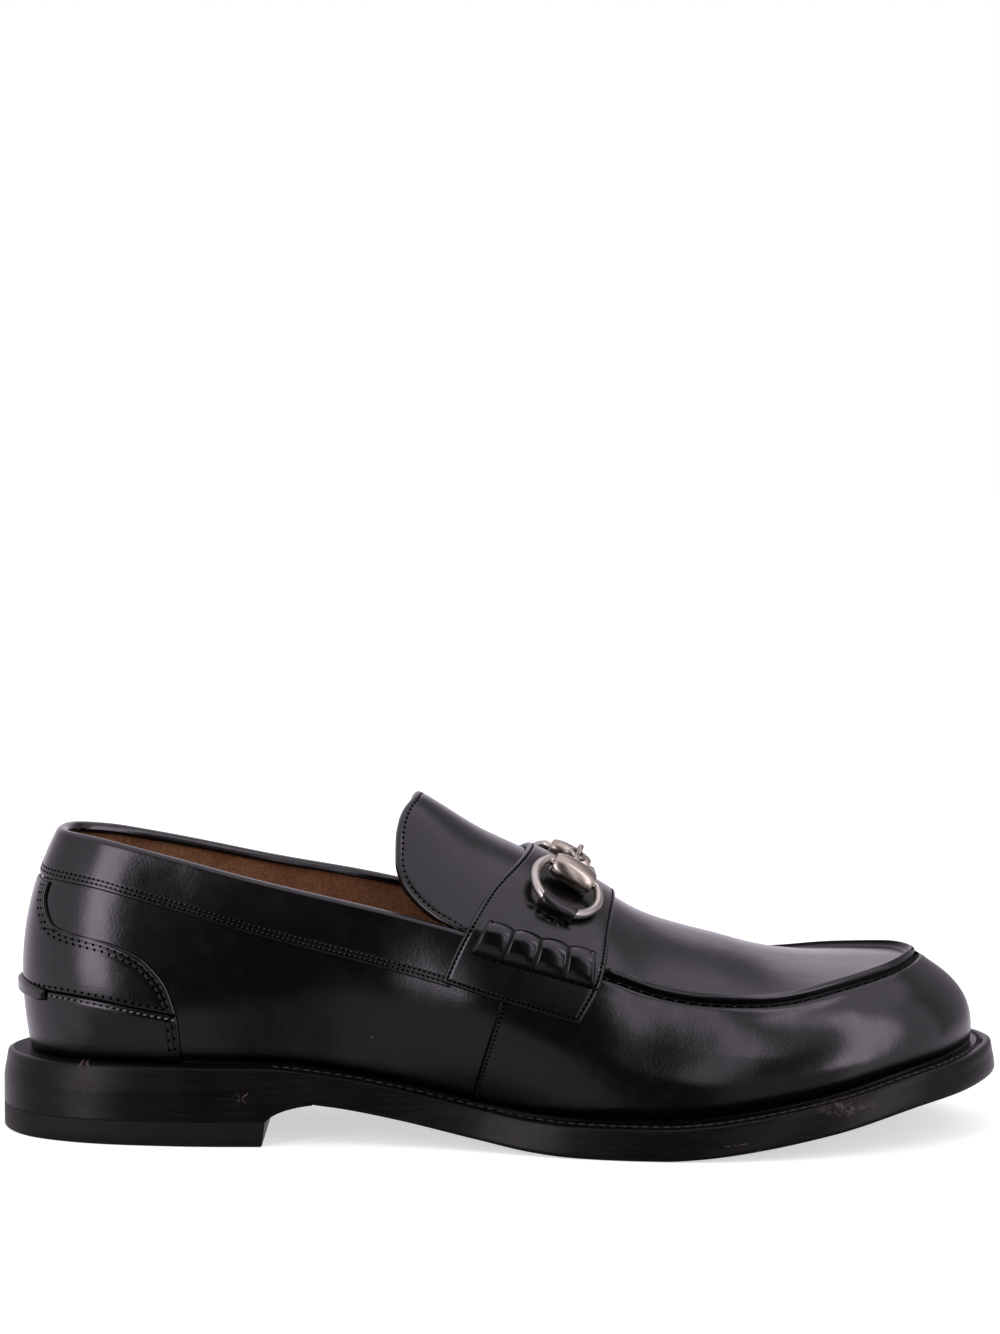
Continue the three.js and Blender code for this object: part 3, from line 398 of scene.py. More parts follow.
def instepGrid(rears, front, lowOf, across, along):
    # a grid over the instep, from the outer side over the spine to the inner side
    def half(side):
        rear = rears[side > 0]
        rows = np.swapaxes(sides[side], 0, 1)
        lines = np.stack([fromEdge(row, rear, along, crossing(row, front)) for row in rows], 1)
        return np.stack([
            evenly(between(line, np.linspace(lowOf(line), spineRow, 4 * spineRow)), across) for line in lines
        ], 1)

    return bothSides(half)


def regrid(grid, near, count):
    # the same grid with its second axis re-spaced: near steps from both edges, even ones between them
    lines = []
    for line in grid:
        total = alongLine(line)[-1]
        fit = near * min(1, total / (2.2 * near[-1]))
        middle = np.linspace(fit[-1], total - fit[-1], count)[1:-1]
        lines.append(atDistances(line, np.concatenate([fit, middle, total - fit[::-1]])))
    grid = np.stack(lines)
    grid[..., 3:] = unit(grid[..., 3:])
    return grid


def place(points):
    return (np.asarray(points)[..., :3] + lastOrigin) * mm


def rework(mesh, step):
    work = bmesh.new()
    work.from_mesh(mesh)
    step(work)
    work.to_mesh(mesh)
    work.free()


def joinDoubles(work):
    bmesh.ops.remove_doubles(work, verts=work.verts, dist=0.004 * mm)
    bmesh.ops.dissolve_degenerate(work, edges=work.edges, dist=0.002 * mm)


def turnOutward(work):
    bmesh.ops.recalc_face_normals(work, faces=work.faces)
    if work.calc_volume(signed=True) < 0:
        bmesh.ops.reverse_faces(work, faces=work.faces)


def linked(name, data):
    thing = bpy.data.objects.new(name, data)
    bpy.context.scene.collection.objects.link(thing)
    return thing


def newPiece(name, points, faces, finishes, smooth=None, lined=None, inkShade=None):
    # a mesh in the frame's metres; smooth is the angle over which an edge is sharp. Faces from the lined one
    # on take the second finish, but not in the toe. The ink and shade value is 1 where the leather is black
    # and
    # unreflecting: edge ink on cut edges, painted shade in seams, creases and over the welt.
    mesh = bpy.data.meshes.new(name)
    mesh.from_pydata(place(points).reshape(-1, 3).tolist(), [], faces)
    if inkShade is not None:
        shade = mesh.attributes.new("inkShade", "FLOAT", "POINT").data
        shade.foreach_set("value", np.ravel(inkShade).astype(np.float32))
    for finish in finishes:
        mesh.materials.append(finish)
    mesh.polygons.foreach_set("use_smooth", [True] * len(faces))
    if lined:
        slots = [k >= lined and points[face[0]][0] < 0.66 * length for k, face in enumerate(faces)]
        mesh.polygons.foreach_set("material_index", slots)
    rework(mesh, joinDoubles)
    if smooth:
        mesh.set_sharp_from_angle(angle=math.radians(smooth))
    return linked(name, mesh)


def gridFaces(rows, columns, start=0, flip=False):
    corners = [start + i * columns + j for i in range(rows - 1) for j in range(columns - 1)]
    faces = [(a, a + 1, a + columns + 1, a + columns) for a in corners]
    return [face[::-1] for face in faces] if flip else faces


def tubeFaces(count, around, closed):
    # quads between closed rings of points
    faces = []
    for i in range(count if closed else count - 1):
        here, there = i * around, (i + 1) % count * around
        for k in range(around):
            turned = (k + 1) % around
            faces.append((here + k, here + turned, there + turned, there + k))
    return faces


def facesInward(grid):
    # whether the grid's own winding points against its normals
    i, j = grid.shape[0] // 2, grid.shape[1] // 2
    across = grid[i + 1, j, :3] - grid[i, j, :3]
    upward = grid[i, j + 1, :3] - grid[i, j, :3]
    return float(np.dot(np.cross(upward, across), grid[i, j, 3:6])) < 0


def sheetPiece(name, outer, inner, finishes, inkShade):
    # a wall of leather between two grids, lined on its inner face and closed round its rim
    rows, columns = outer.shape[:2]
    flip = facesInward(outer)
    outside = gridFaces(rows, columns, 0, flip)
    number = np.arange(rows * columns).reshape(rows, columns)
    loop = np.concatenate([number[0, :-1], number[:-1, -1], number[-1, :0:-1], number[:0:-1, 0]]).tolist()
    for a, b in zip(loop, loop[1:] + loop[:1]):
        quad = (a, b, b + rows * columns, a + rows * columns)
        outside.append(quad[::-1] if flip else quad)
    points = np.concatenate([outer[..., :3].reshape(-1, 3), inner[..., :3].reshape(-1, 3)])
    faces = outside + gridFaces(rows, columns, rows * columns, not flip)
    inkShade = np.concatenate([np.ravel(inkShade), np.zeros(rows * columns)])
    return newPiece(name, points, faces, finishes, lined=len(outside), inkShade=inkShade)


def loftPiece(name, rings, finish, closed=False, smooth=None, inkShade=None):
    # rings of points joined along a path, capped by fans where the path is open
    rings = np.asarray(rings)
    count, around = rings.shape[:2]
    faces = tubeFaces(count, around, closed)
    points = rings[..., :3].reshape(-1, 3)
    if not closed:
        final = (count - 1) * around
        points = np.vstack([points, rings[0, :, :3].mean(axis=0), rings[-1, :, :3].mean(axis=0)])
        inkShade = None if inkShade is None else np.append(inkShade, [0, 0])
        for k in range(around):
            faces.append((count * around, (k + 1) % around, k))
            faces.append((count * around + 1, final + k, final + (k + 1) % around))
    piece = newPiece(name, points, faces, [finish], smooth, inkShade=inkShade)
    rework(piece.data, turnOutward)
    return piece


def nearest(marks, points):
    # which mark is nearest to each point, and how far away it is
    tree = KDTree(len(marks))
    for i, mark in enumerate(marks):
        tree.insert(mark, i)
    tree.balance()
    found = np.array([tree.find(p)[1:] for p in points[..., :3].reshape(-1, 3)])
    found = found.reshape(*points.shape[:-1], 2)
    return found[..., 0].astype(int), found[..., 1]


def nearestOn(line, points):
    # how far points are from a line
    return nearest(evenly(line[:, :3], max(2, int(alongLine(line)[-1] / 0.06))), points)[1]


def withInward(line, neighbour):
    # a border's points and normals, and the way into the panel
    way = np.cross(line[:, 3:6], np.gradient(line[:, :3], axis=0))
    sign = np.sign(np.sum(way * (neighbour[:, :3] - line[:, :3]), axis=1, keepdims=True))
    return np.column_stack([line[:, :6], unit(way * sign)])


shadeLook = {
    "foot": 0.85,  # how strongly painted shade darkens the leather and takes out its reflection where it meets the welt
    "footTop": 6.2,  # height over the welt where this ends
    "footFade": 4.6,
    "cut": 0.4,  # how far inside a cut edge the edge ink and the painted shade under the edge reach
}


# painted shade over the welt: darker and barely reflecting near its top
def footShade(points):
    above = points[..., 2] - weltTop(points[..., 0])
    return shadeLook["foot"] * ease(np.clip((shadeLook["footTop"] - above) / shadeLook["footFade"], 0, 1))


# edge ink along a cut edge, also painted as the shade under it
def cutShade(distance):
    return np.clip(1 - distance / shadeLook["cut"], 0, 1)


furrowReach = 0.42  # half the width of a stitched furrow


def panelPiece(name, grid, look, finish):
    # a layer of leather on the last: rounded edges, stitched furrows beside them and a flat underside
    radius = look["edge"]
    near = radius * (1 - np.cos(np.radians([0, 22, 45, 68, 90])))
    furrows = look.get("furrows", ())
    if furrows:
        near = np.concatenate([near, np.arange(radius + 0.25, max(f[1] for f in furrows) + 1.2, 0.26)])
    grid = regrid(grid, near, look["across"])
    grid = np.swapaxes(regrid(np.swapaxes(grid, 0, 1), near, look["along"]), 0, 1)
    borders = {
        "first": withInward(grid[:, 0], grid[:, 8]), "last": withInward(grid[:, -1], grid[:, -9]),
        "start": withInward(grid[0], grid[8]), "end": withInward(grid[-1], grid[-9]),
    }
    distance = {edge: nearestOn(line, grid) for edge, line in borders.items()}
    inside = np.min(list(distance.values()), axis=0)
    inside[0] = inside[-1] = inside[:, 0] = inside[:, -1] = 0
    height = look["thick"] * rounded(inside, radius)
    for edges, away, sink in furrows:
        closest = np.min([distance[edge] for edge in edges.split()], axis=0)
        height -= sink * hump(closest, away, furrowReach) * (inside > 0.5 * radius)
    outer = grid[..., :3] + grid[..., 3:6] * (look["lift"] + height)[..., None]
    under = grid[..., :3] + grid[..., 3:6] * look["lift"]
    flip = facesInward(grid)
    rows, columns = grid.shape[:2]
    faces = gridFaces(rows, columns, 0, flip) + gridFaces(rows, columns, rows * columns, not flip)
    # painted shade over the welt and ink along the cut edges, also standing for the shade under them; the
    # underside all dark
    inkShade = np.append(np.maximum(cutShade(inside), footShade(outer)), np.ones(inside.size))
    points = np.concatenate([outer.reshape(-1, 3), under.reshape(-1, 3)])
    return newPiece(name, points, faces, [finish], inkShade=inkShade), borders


# Finishes: a wire is a socket's value that Python's operators work on
def operator(operation, swapped=False):
    def work(self, other):
        return self.paint.maths(operation, *((other, self) if swapped else (self, other)))

    return work


class Wire:
    __add__ = operator("ADD")
    __radd__ = operator("ADD", True)
    __sub__ = operator("SUBTRACT")
    __rsub__ = operator("SUBTRACT", True)
    __mul__ = operator("MULTIPLY")
    __rmul__ = operator("MULTIPLY", True)
    __truediv__ = operator("DIVIDE")
    __pow__ = operator("POWER")

    def __init__(self, paint, socket):
        self.paint = paint
        self.socket = socket


def feed(tree, socket, value):
    # a link from another socket, or a fixed value
    if isinstance(value, Wire):
        value = value.socket
    if isinstance(value, bpy.types.NodeSocket):
        tree.links.new(value, socket)
    else:
        socket.default_value = (*value, 1) if socket.type == "RGBA" else value


def newNode(tree, kind, sockets=None, **settings):
    made = tree.nodes.new(kind)
    for key, value in settings.items():
        setattr(made, key, value)
    for key, value in (sockets or {}).items():
        feed(tree, made.inputs[key], value)
    return made


class Paint:
    # the nodes of one material, or of the world; places are in the frame's millimetres
    def __init__(self, name="", world=None):
        self.material = world or bpy.data.materials.new(name)
        self.material.use_nodes = True
        self.tree = self.material.node_tree
        self.shader = self.tree.nodes["Background" if world else "Principled BSDF"]
        self.where = self.node("ShaderNodeTexCoord").outputs["Generated" if world else "Object"]
        apart = self.node("ShaderNodeSeparateXYZ", {0: self.where})
        self.x, self.y, self.z = (Wire(self, apart.outputs[k]) * (1 if world else 1000) for k in range(3))

    def node(self, kind, sockets=None, **settings):
        return newNode(self.tree, kind, sockets, **settings)

    def wire(self, kind, sockets=None, output=0, **settings):
        return Wire(self, self.node(kind, sockets, **settings).outputs[output])

    def maths(self, operation, a, b=0.0):
        return self.wire("ShaderNodeMath", {0: a, 1: b}, operation=operation)

    def noise(self, scale, detail, rough, where=None):
        sockets = {"Vector": where or self.where, "Scale": scale, "Detail": detail, "Roughness": rough}
        return self.wire("ShaderNodeTexNoise", sockets)

    def stretched(self, *scale):
        return self.wire("ShaderNodeMapping", {"Vector": self.where, "Scale": scale})

    def cells(self, scale, feature="F1"):
        return self.node("ShaderNodeTexVoronoi", {"Vector": self.where, "Scale": scale}, feature=feature)

    def step(self, value, low, high):
        # 0 below low, 1 above high, smooth between; low may be the larger
        sockets = {"Value": value, "From Min": low, "From Max": high}
        return self.wire("ShaderNodeMapRange", sockets, interpolation_type="SMOOTHSTEP", clamp=True)

    def blend(self, factor, a, b):
        return self.wire("ShaderNodeMix", {0: factor, 6: a, 7: b}, 2, data_type="RGBA")

    def patch(self, centre, sizes, soft):
        # 1 inside an ellipsoid round a place in the frame's millimetres, 0 outside it
        axes = zip((self.x, self.y, self.z), centre, sizes)
        x, y, z = (((axis - at) / size) ** 2.0 for axis, at, size in axes)
        return self.step(x + y + z, 1.0, 1.0 - soft)

    def scratch(self, centre, slope, reach, thin=0.16):
        # 1 on a thin mark on the outer side: its middle along and up, its slope and its half length in mm
        along = self.x - centre[0]
        off = self.maths("ABSOLUTE", (self.z - centre[1] - along * slope) / math.hypot(1, slope))
        near = self.step(self.maths("ABSOLUTE", along), reach, reach * 0.7) * self.step(self.y, 0.0, -5.0)
        return self.step(off, thin, thin * 0.3) * near

    def set(self, **sockets):
        # a shader socket's value or link, by its name with _ for a space
        for key, value in sockets.items():
            feed(self.tree, self.shader.inputs[key.replace("_", " ")], value)

    def bump(self, *layers):
        # layers of height and depth in metres, one over another
        normal = {}
        for height, distance in layers:
            sockets = {"Height": height, "Distance": distance, "Strength": 1.0} | normal
            normal = {"Normal": self.node("ShaderNodeBump", sockets).outputs[0]}
        self.set(**normal)


leatherLook = {
    "colour": (0.0016, 0.0014, 0.0016),
    "worn": (0.0036, 0.0031, 0.0034),
    # ink on cut edges, and the colour of painted shade in seams, creases and over the welt
    "inkShadeColour": (0.0007, 0.0006, 0.0007),
    "torn": (0.02, 0.018, 0.019),
    "dust": (0.3, 0.29, 0.3),
    "roughness": 0.175,
    "streaks": 0.06,
    "inkShadeRoughness": 0.2,
    "inkShadeMetal": 0.92,  # metal as black as this mirrors almost nothing: ink on cut edges, painted shade in seams, creases and over the welt
    "dustRoughness": 0.4,
    "coat": 0.22,
    "coatRoughness": 0.13,
    "grainDepth": 0.000012,
    "waveDepth": 0.00022,
    "dustShare": 0.035,
}


def leatherFinish(name, look, waves=1.0, dust=1.0, slit=None):
    # slit is a cut in the leather on the outer side: its middle, slope and half length as for a scratch
    paint = Paint(name)
    slow = paint.noise(55, 3, 0.55)
    cloud = paint.noise(190, 3, 0.6)
    fine = paint.noise(1500, 3, 0.6)
    pores = paint.cells(1150).outputs["Distance"]
    creased = paint.cells(520, "DISTANCE_TO_EDGE").outputs["Distance"]
    speck = paint.cells(240)
    chance = paint.wire("ShaderNodeSeparateColor", {0: speck.outputs["Color"]})
    dustShare = look["dustShare"] * dust
    dusty = paint.step(speck.outputs["Distance"], 0.05, 0.02)
    dusty = dusty * paint.step(chance, dustShare, dustShare * 0.7)
    colour = paint.blend(paint.step(cloud, 0.45, 0.8), look["colour"], look["worn"])
    colour = paint.blend(dusty * 0.8, colour, look["dust"])
    # edge ink and painted shade from the mesh: darker colour, rougher, black metal and no coat
    inkShade = paint.wire("ShaderNodeAttribute", None, "Fac", attribute_name="inkShade")
    layers = []
    if slit:
        # the slit's cut is painted black as the shade inside it; its torn lips are lighter fibres
        cut = paint.scratch(*slit, 0.55) * paint.step(paint.noise(500, 3, 0.6), 0.38, 0.5)
        torn = paint.scratch(*slit, 1.3) * paint.step(paint.noise(800, 3, 0.7), 0.47, 0.56) * (1 - cut)
        colour = paint.blend(torn, colour, look["torn"])
        inkShade = paint.maths("MAXIMUM", inkShade, cut)
        dusty = paint.maths("MAXIMUM", dusty, torn)
        layers = [(cut, -0.00035), (torn, 0.0001)]
    colour = paint.blend(inkShade, colour, look["inkShadeColour"])
    rough = look["roughness"] + (slow - 0.5) * look["streaks"] + (cloud - 0.5) * 0.08 + (fine - 0.5) * 0.06
    rough = rough + dusty * look["dustRoughness"] + inkShade * look["inkShadeRoughness"]
    paint.set(Base_Color=colour, Roughness=rough, Metallic=inkShade * look["inkShadeMetal"])
    paint.set(Coat_Weight=(look["coat"] - (cloud - 0.5) * 0.3) * (1 - inkShade))
    paint.set(Coat_Roughness=look["coatRoughness"], IOR=1.5, Specular_IOR_Level=0.42)
    grain = look["grainDepth"]
    paint.bump((paint.noise(60, 2, 0.5), look["waveDepth"] * waves), (pores, grain),
               (paint.step(creased, 0.0, 0.09), grain * 0.14), (fine, grain * 0.5), *layers)
    return paint.material


def suedeFinish(name, colour, dark):
    paint = Paint(name)
    nap = paint.noise(900, 4, 0.65)
    cloud = paint.noise(70, 3, 0.55)
    tone = paint.blend(paint.step(nap * 0.6 + cloud * 0.4, 0.36, 0.64), dark, colour)
    paint.set(Base_Color=tone, Roughness=0.85 + (nap - 0.5) * 0.2)
    paint.set(Sheen_Weight=0.25, Sheen_Roughness=0.5, Specular_IOR_Level=0.2)
    paint.bump((nap, 0.00012), (paint.noise(2600, 2, 0.6), 0.00004))
    return paint.material


soleEdgeLook = {
    "colour": (0.0024, 0.002, 0.0022),
    "worn": (0.0052, 0.0042, 0.0044),
    "rubbed": (0.1, 0.078, 0.075),
    "roughness": 0.28,
    "gloss": 0.16,
}
# Marks of wear where the photograph has them: a patch is its centre, half sizes and soft share
wear = {
    "rubbedPatch": ((101.0, -44.0, 14.8), (11.0, 14.0, 3.0), 0.95),
    "tickPatch": ((-124.8, -20.0, 17.4), (6.6, 40.0, 2.7), 0.5),
    "tickPitch": 0.8,
    "scratches": (((-75.6, 15.2), 0.8, 2.0), ((-76.2, 14.8), -0.95, 1.7),
                  ((68.5, 5.2), 0.12, 4.2), ((74.0, 3.0), 0.5, 2.4)),
    "nicks": (((-123.6, 24.2), 1.0, 1.2, 0.4), ((-122.8, 24.2), -1.0, 1.2, 0.4)),
}


def soleFinish(name, look, lines=1.0):
    paint = Paint(name)
    strokes = paint.noise(260, 4, 0.6, paint.stretched(0.25, 0.25, 4.0))
    cloud = paint.noise(80, 3, 0.6)
    fine = paint.noise(1800, 2, 0.6)
    tone = paint.blend(paint.step(strokes * 0.5 + cloud * 0.5, 0.4, 0.66), look["colour"], look["worn"])
    rubbed = paint.patch(*wear["rubbedPatch"]) * paint.step(paint.noise(700, 4, 0.75), 0.46, 0.62)
    ticks = paint.maths("SINE", paint.x * (2 * math.pi / wear["tickPitch"]))
    ticks = ticks * paint.patch(*wear["tickPatch"])
    crossed = sum(paint.scratch(*mark) for mark in wear["scratches"])
    crossed = crossed * paint.step(paint.noise(900, 3, 0.6), 0.4, 0.56)
    for mark in wear["nicks"]:
        crossed = crossed + paint.scratch(*mark)
    colour = paint.blend(paint.maths("MAXIMUM", ticks, 0.0) * 0.06, tone, look["rubbed"])
    colour = paint.blend(rubbed * 0.55, colour, look["rubbed"])
    colour = paint.blend(crossed * 0.8, colour, look["rubbed"])
    paint.set(Base_Color=colour, Specular_IOR_Level=look["gloss"])
    paint.set(Roughness=look["roughness"] + (strokes - 0.5) * 0.14 + rubbed * 0.25 + (fine - 0.5) * 0.08)
    paint.bump((strokes, 0.00004 * lines), (cloud, 0.00008), (fine, 0.00001), (ticks, 0.000012),
               (crossed, -0.00004))
    return paint.material


def metalFinish(name, bright, dark, tarnish, rough):
    paint = Paint(name)
    cloud = paint.noise(110, 2, 0.5)
    spots = paint.noise(1300, 3, 0.6)
    brushed = paint.noise(700, 3, 0.6, paint.stretched(1.0, 5.0, 5.0))
    aged = paint.step(cloud * 0.8 + spots * 0.2, tarnish, tarnish + 0.24)
    paint.set(Base_Color=paint.blend(aged, bright, dark), Metallic=1.0)
    paint.set(Roughness=rough + aged * 0.1 + (brushed - 0.5) * 0.03)
    paint.bump((brushed, 0.0000015))
    return paint.material


def threadFinish(name, colour, rough, gloss=0.3):
    paint = Paint(name)
    twist = paint.noise(2400, 2, 0.5)
    paint.set(Base_Color=paint.blend(twist, colour, tuple(c * 1.8 for c in colour)), Roughness=rough)
    paint.set(Specular_IOR_Level=gloss)
    paint.bump((twist, 0.00003))
    return paint.material


blackLeather = leatherFinish("blackLeather", leatherLook)
strapBlack = leatherFinish(
    "strapBlack", leatherLook | {"roughness": 0.24}, waves=0.7, slit=((13.4, 69.3), -0.52, 5.9))
keeperBlack = leatherFinish(
    "keeperBlack", leatherLook | {"roughness": 0.3, "worn": (0.006, 0.005, 0.0055)}, waves=0.5, dust=0.3)
tanSuede = suedeFinish("tanSuede", (0.34, 0.165, 0.07), (0.19, 0.085, 0.036))
sockTan = suedeFinish("sockTan", (0.30, 0.15, 0.07), (0.21, 0.10, 0.045))
soleEdge = soleFinish("soleEdge", soleEdgeLook)
# the welt's top, a darker and duller copy of the sole's edge finish: painted shade under the upper
weltTopShadeLook = {
    "colour": leatherLook["colour"], "worn": (0.0025, 0.0022, 0.0024), "roughness": 0.5, "gloss": 0.12,
}
weltTopShaded = soleFinish("weltTopShaded", soleEdgeLook | weltTopShadeLook)
liftLook = {"colour": (0.0052, 0.0043, 0.0047), "roughness": 0.5}
liftRubber = soleFinish("liftRubber", soleEdgeLook | liftLook, lines=0.5)
satinSteel = metalFinish("satinSteel", (0.5, 0.475, 0.42), (0.26, 0.235, 0.2), 0.56, 0.25)
agedSteel = metalFinish("agedSteel", (0.41, 0.365, 0.305), (0.17, 0.135, 0.1), 0.5, 0.27)
blackThread = threadFinish("blackThread", (0.0024, 0.0022, 0.0024), 0.4, 0.4)
greyThread = threadFinish("greyThread", (0.075, 0.07, 0.071), 0.5)
weltThread = threadFinish("weltThread", (0.017, 0.016, 0.016), 0.5)
dullBlack = threadFinish("dullBlack", (0.0012, 0.0011, 0.0012), 0.7, 0.15)
# needle holes as black matte discs: painted shade in the holes
pinholeShade = threadFinish("pinholeShade", (0.0006, 0.0006, 0.0006), 1.0, 0.0)
print("finishes made")

# Upper: the quarters round the heel, and the vamp that laps over them in front of the side seam
upperLook = {
    "quarterLift": 0.25,
    "lap": 0.75,  # how far the vamp stands out, so over the quarters
    "underLap": 15,  # how far the quarters run on under it
    "crestHeight": 1.6,  # the apron seam's ridge
    "crestAt": 0.35,  # how far inside the seam's line it stands
    "crestOuter": 0.75,  # half its width, outside and inside
    "crestInner": 1.08,
    "crestSquareness": 2.4,
    "grooveDepth": 1.0,  # the furrow outside the ridge
    "pucker": 0.22,  # swell of the vamp beside it
    "collarDrop": 1.2,  # the quarters end this far inside the collar's roll
    "seamFrom": 0.585,  # share of the length where the apron seam begins
    "seamFade": 0.02,
    "quarterRows": 40,
    "quarterColumns": 170,
    "vampColumns": 190,
}


def apronProfile(distance):
    # height over the last by the distance from the apron seam: minus on the wall, plus on the plug
    swell = upperLook["pucker"] * hump(distance, -3.4, 1.5)
    groove = upperLook["grooveDepth"] * hump(distance, -1.35, 0.72)
    off = distance - upperLook["crestAt"]
    half = np.where(off < 0, upperLook["crestOuter"], upperLook["crestInner"])
    ridge = np.exp(-np.abs(off / half) ** upperLook["crestSquareness"])
    return swell - groove + upperLook["crestHeight"] * ridge


def seamDistance(points):
    # distance from the apron seam, less than 0 outside it, and how far along the shoe its nearest place is
    seam = surface[:, crestRow, :3]
    seam = seam[seam[:, 0] > 0.56 * length]
    marks = softened(softened(evenly(seam, int(alongLine(seam)[-1] / 0.05)), 70), 50)
    inward = np.cross(np.gradient(marks, axis=0), (0, 0, 1))
    inward *= np.sign((inward * (marks.mean(axis=0) - marks)).sum())
    number, away = nearest(marks, points)
    outside = ((points - marks[number]) * inward[number]).sum(axis=-1) < 0
    return np.where(outside, -away, away), marks[number, 0]


def raised(grid, height):
    moved = grid.copy()
    moved[..., :3] += unit(grid[..., 3:6]) * height
    return moved


def quarterHalf(side):
    here = sides[side][:, : crestRow + 1]
    numbers = np.arange(crestRow + 1)
    drop = upperLook["collarDrop"]
    top = [np.interp(toplineHeight(w[-1, 0], side) - drop, w[:, 2], numbers) for w in here]
    top = np.where(here[:, -1, 0] > last["collarEnd"] * length, crestRow, top)
    rows, columns = upperLook["quarterRows"], upperLook["quarterColumns"]
    lines = [evenly(between(w, np.linspace(0, t, 3 * rows)), rows) for w, t in zip(here, top)]
    front = edgeOf(vampRear, upperLook["underLap"])
    return np.stack([fromEdge(line, front, columns) for line in np.stack(lines, 1)], 1)


def vampHalf(side):
    rear, columns = edgeOf(vampRear), upperLook["vampColumns"]
    lines = np.swapaxes(sides[side], 0, 1)
    return np.stack([fromEdge(line, rear, columns, len(line) - 1) for line in lines])


def upperPiece(name, grid, lift, inkShade):
    outer, inner = raised(grid, lift), raised(grid, -last["upperWall"])
    return sheetPiece(name, outer, inner, [blackLeather, tanSuede], inkShade(outer))


def vampShade(grid, distance, fade):
    # painted shade in the apron's furrow, on the crest's inner flank, on the far side's ridge and over the
    # welt; edge ink at the cut rear edge
    seam = hump(distance, -1.5, 0.95) + 0.5 * hump(distance, 1.25, 0.5)
    farFlank = hump(distance, 1.0, 0.55) * np.clip(grid[..., 1] / 12, 0, 1)
    rearEdge = nearestOn(np.concatenate([grid[:, 0], grid[-1:, 0]]), grid)
    return np.max([np.maximum(seam, farFlank) * fade, cutShade(rearEdge), footShade(grid)], axis=0)


# the quarters carry painted shade over the welt
quarterLeather = upperPiece("quarterLeather", bothSides(quarterHalf), upperLook["quarterLift"], footShade)
vampGrid = bothSides(vampHalf)
seamAway, seamX = seamDistance(vampGrid[..., :3])
seamFade = np.clip((seamX / length - upperLook["seamFrom"]) / upperLook["seamFade"], 0, 1)
vampLift = upperLook["lap"] + apronProfile(seamAway) * ease(seamFade)
vampInkShade = vampShade(vampGrid, seamAway, seamFade)
vampLeather = upperPiece("vampLeather", vampGrid, vampLift[..., None], lambda outer: vampInkShade)
print("upper: quarters and vamp made")

# Tongue and saddle strap
tongueLook = {
    "lift": -2.2, "thick": 2.2, "edge": 1.1, "across": 60, "along": 110,
    "furrows": (("first", 2.0, 0.1),),
}
strapLook = {
    "lift": 0.3, "thick": 2.1, "edge": 0.95, "across": 44, "along": 150,
    "furrows": (("first last start end", 1.5, 0.14),),
}


def strapLowEdge(line):
    below = line[:, 2] - collar * read(strapLow, "up", line[:, 0] / length)
    i = int(np.nonzero(below > 0)[0][0]) - 1
    return i + below[i] / (below[i] - below[i + 1])


tongueRears = (edgeOf(tongueEdge), edgeOf(tongueInner))
tongueGrid = instepGrid(tongueRears, edgeOf(throat, 12), lambda line: crestRow - 7, 70, 60)
tongueLeather, tongueBorders = panelPiece("tongueLeather", tongueGrid, tongueLook, blackLeather)
strapGrid = instepGrid((edgeOf(strapRear),) * 2, edgeOf(strapFront), strapLowEdge, 110, 50)
strapLeather, strapBorders = panelPiece("strapLeather", strapGrid, strapLook, strapBlack)
print("tongue and strap made")

# Collar binding: a band outside, rolled over the topline and a little way down inside
bandLook = {
    "width": 16.2,
    "low": 0.3,  # heights of its two faces over the last
    "high": 1.3,
    "wall": 2.9,  # the roll reaches this far inside the last
    "rollCentre": 2.1,  # below the topline
    "insideDepth": 2.7,
    "furrows": ((1.4, 0.14), (2.65, 0.12)),
    "underStrap": 2.2,  # how far it runs on under the strap
    "columns": 170,
}


def bandDepth(x):
    return bandLook["width"] * (0.92 + 0.16 * x / (last["collarEnd"] * length))


def bandProfile(depth):
    # places across the band: distance below the topline, and height over the last
    named = ("low", "high", "wall", "rollCentre", "insideDepth")
    low, high, wall, centre, inside = (bandLook[name] for name in named)
    places = [(depth, low), (depth - 0.02, 0.75), (depth - 0.15, 1.1), (depth - 0.45, high - 0.07)]
    for back in np.concatenate([np.arange(0.9, 4.6, 0.25), np.linspace(4.8, depth - centre, 16)]):
        sink = sum(deep * hump(back, at, furrowReach) for at, deep in bandLook["furrows"])
        places.append((depth - back, high - sink))
    middle, radius = (high - wall) / 2, (high + wall) / 2
    for turn in np.radians(np.arange(15, 181, 15)):
        places.append((centre * (1 - math.sin(turn)), middle + radius * math.cos(turn)))
    places += [(2.2, -wall), (inside - 0.35, -2.85), (inside - 0.1, -2.6), (inside, -2.2), (inside, -1.85)]
    places += [(2.0, -1.85), (1.5, -1.3), (1.3, -0.75), (1.5, -0.2), (2.2, low), (depth / 2, low)]
    return np.array(places)


def bandHalf(side):
    rings = []
    for wall in sides[side][:, : crestRow + 1]:
        run = alongLine(wall)
        top = np.interp(toplineHeight(wall[-1, 0], side), wall[:, 2], run)
        profile = bandProfile(bandDepth(wall[-1, 0]))
        here = atDistances(wall, np.clip(top - profile[:, 0], 0, run[-1]))
        rings.append(raised(here, profile[:, 1:]))
    edge = edgeOf(strapRear, bandLook["underStrap"])
    return np.stack([fromEdge(line, edge, bandLook["columns"]) for line in np.stack(rings, 1)], 1)


bandLines = bothSides(bandHalf)
# ink on the band's lower cut edge, also standing for the shade under it
bandRim = np.zeros(bandLines.shape[:2])
bandRim[:, :3] = (1, 1, 0.5)
collarBinding = loftPiece("collarBinding", bandLines, blackLeather, inkShade=bandRim)

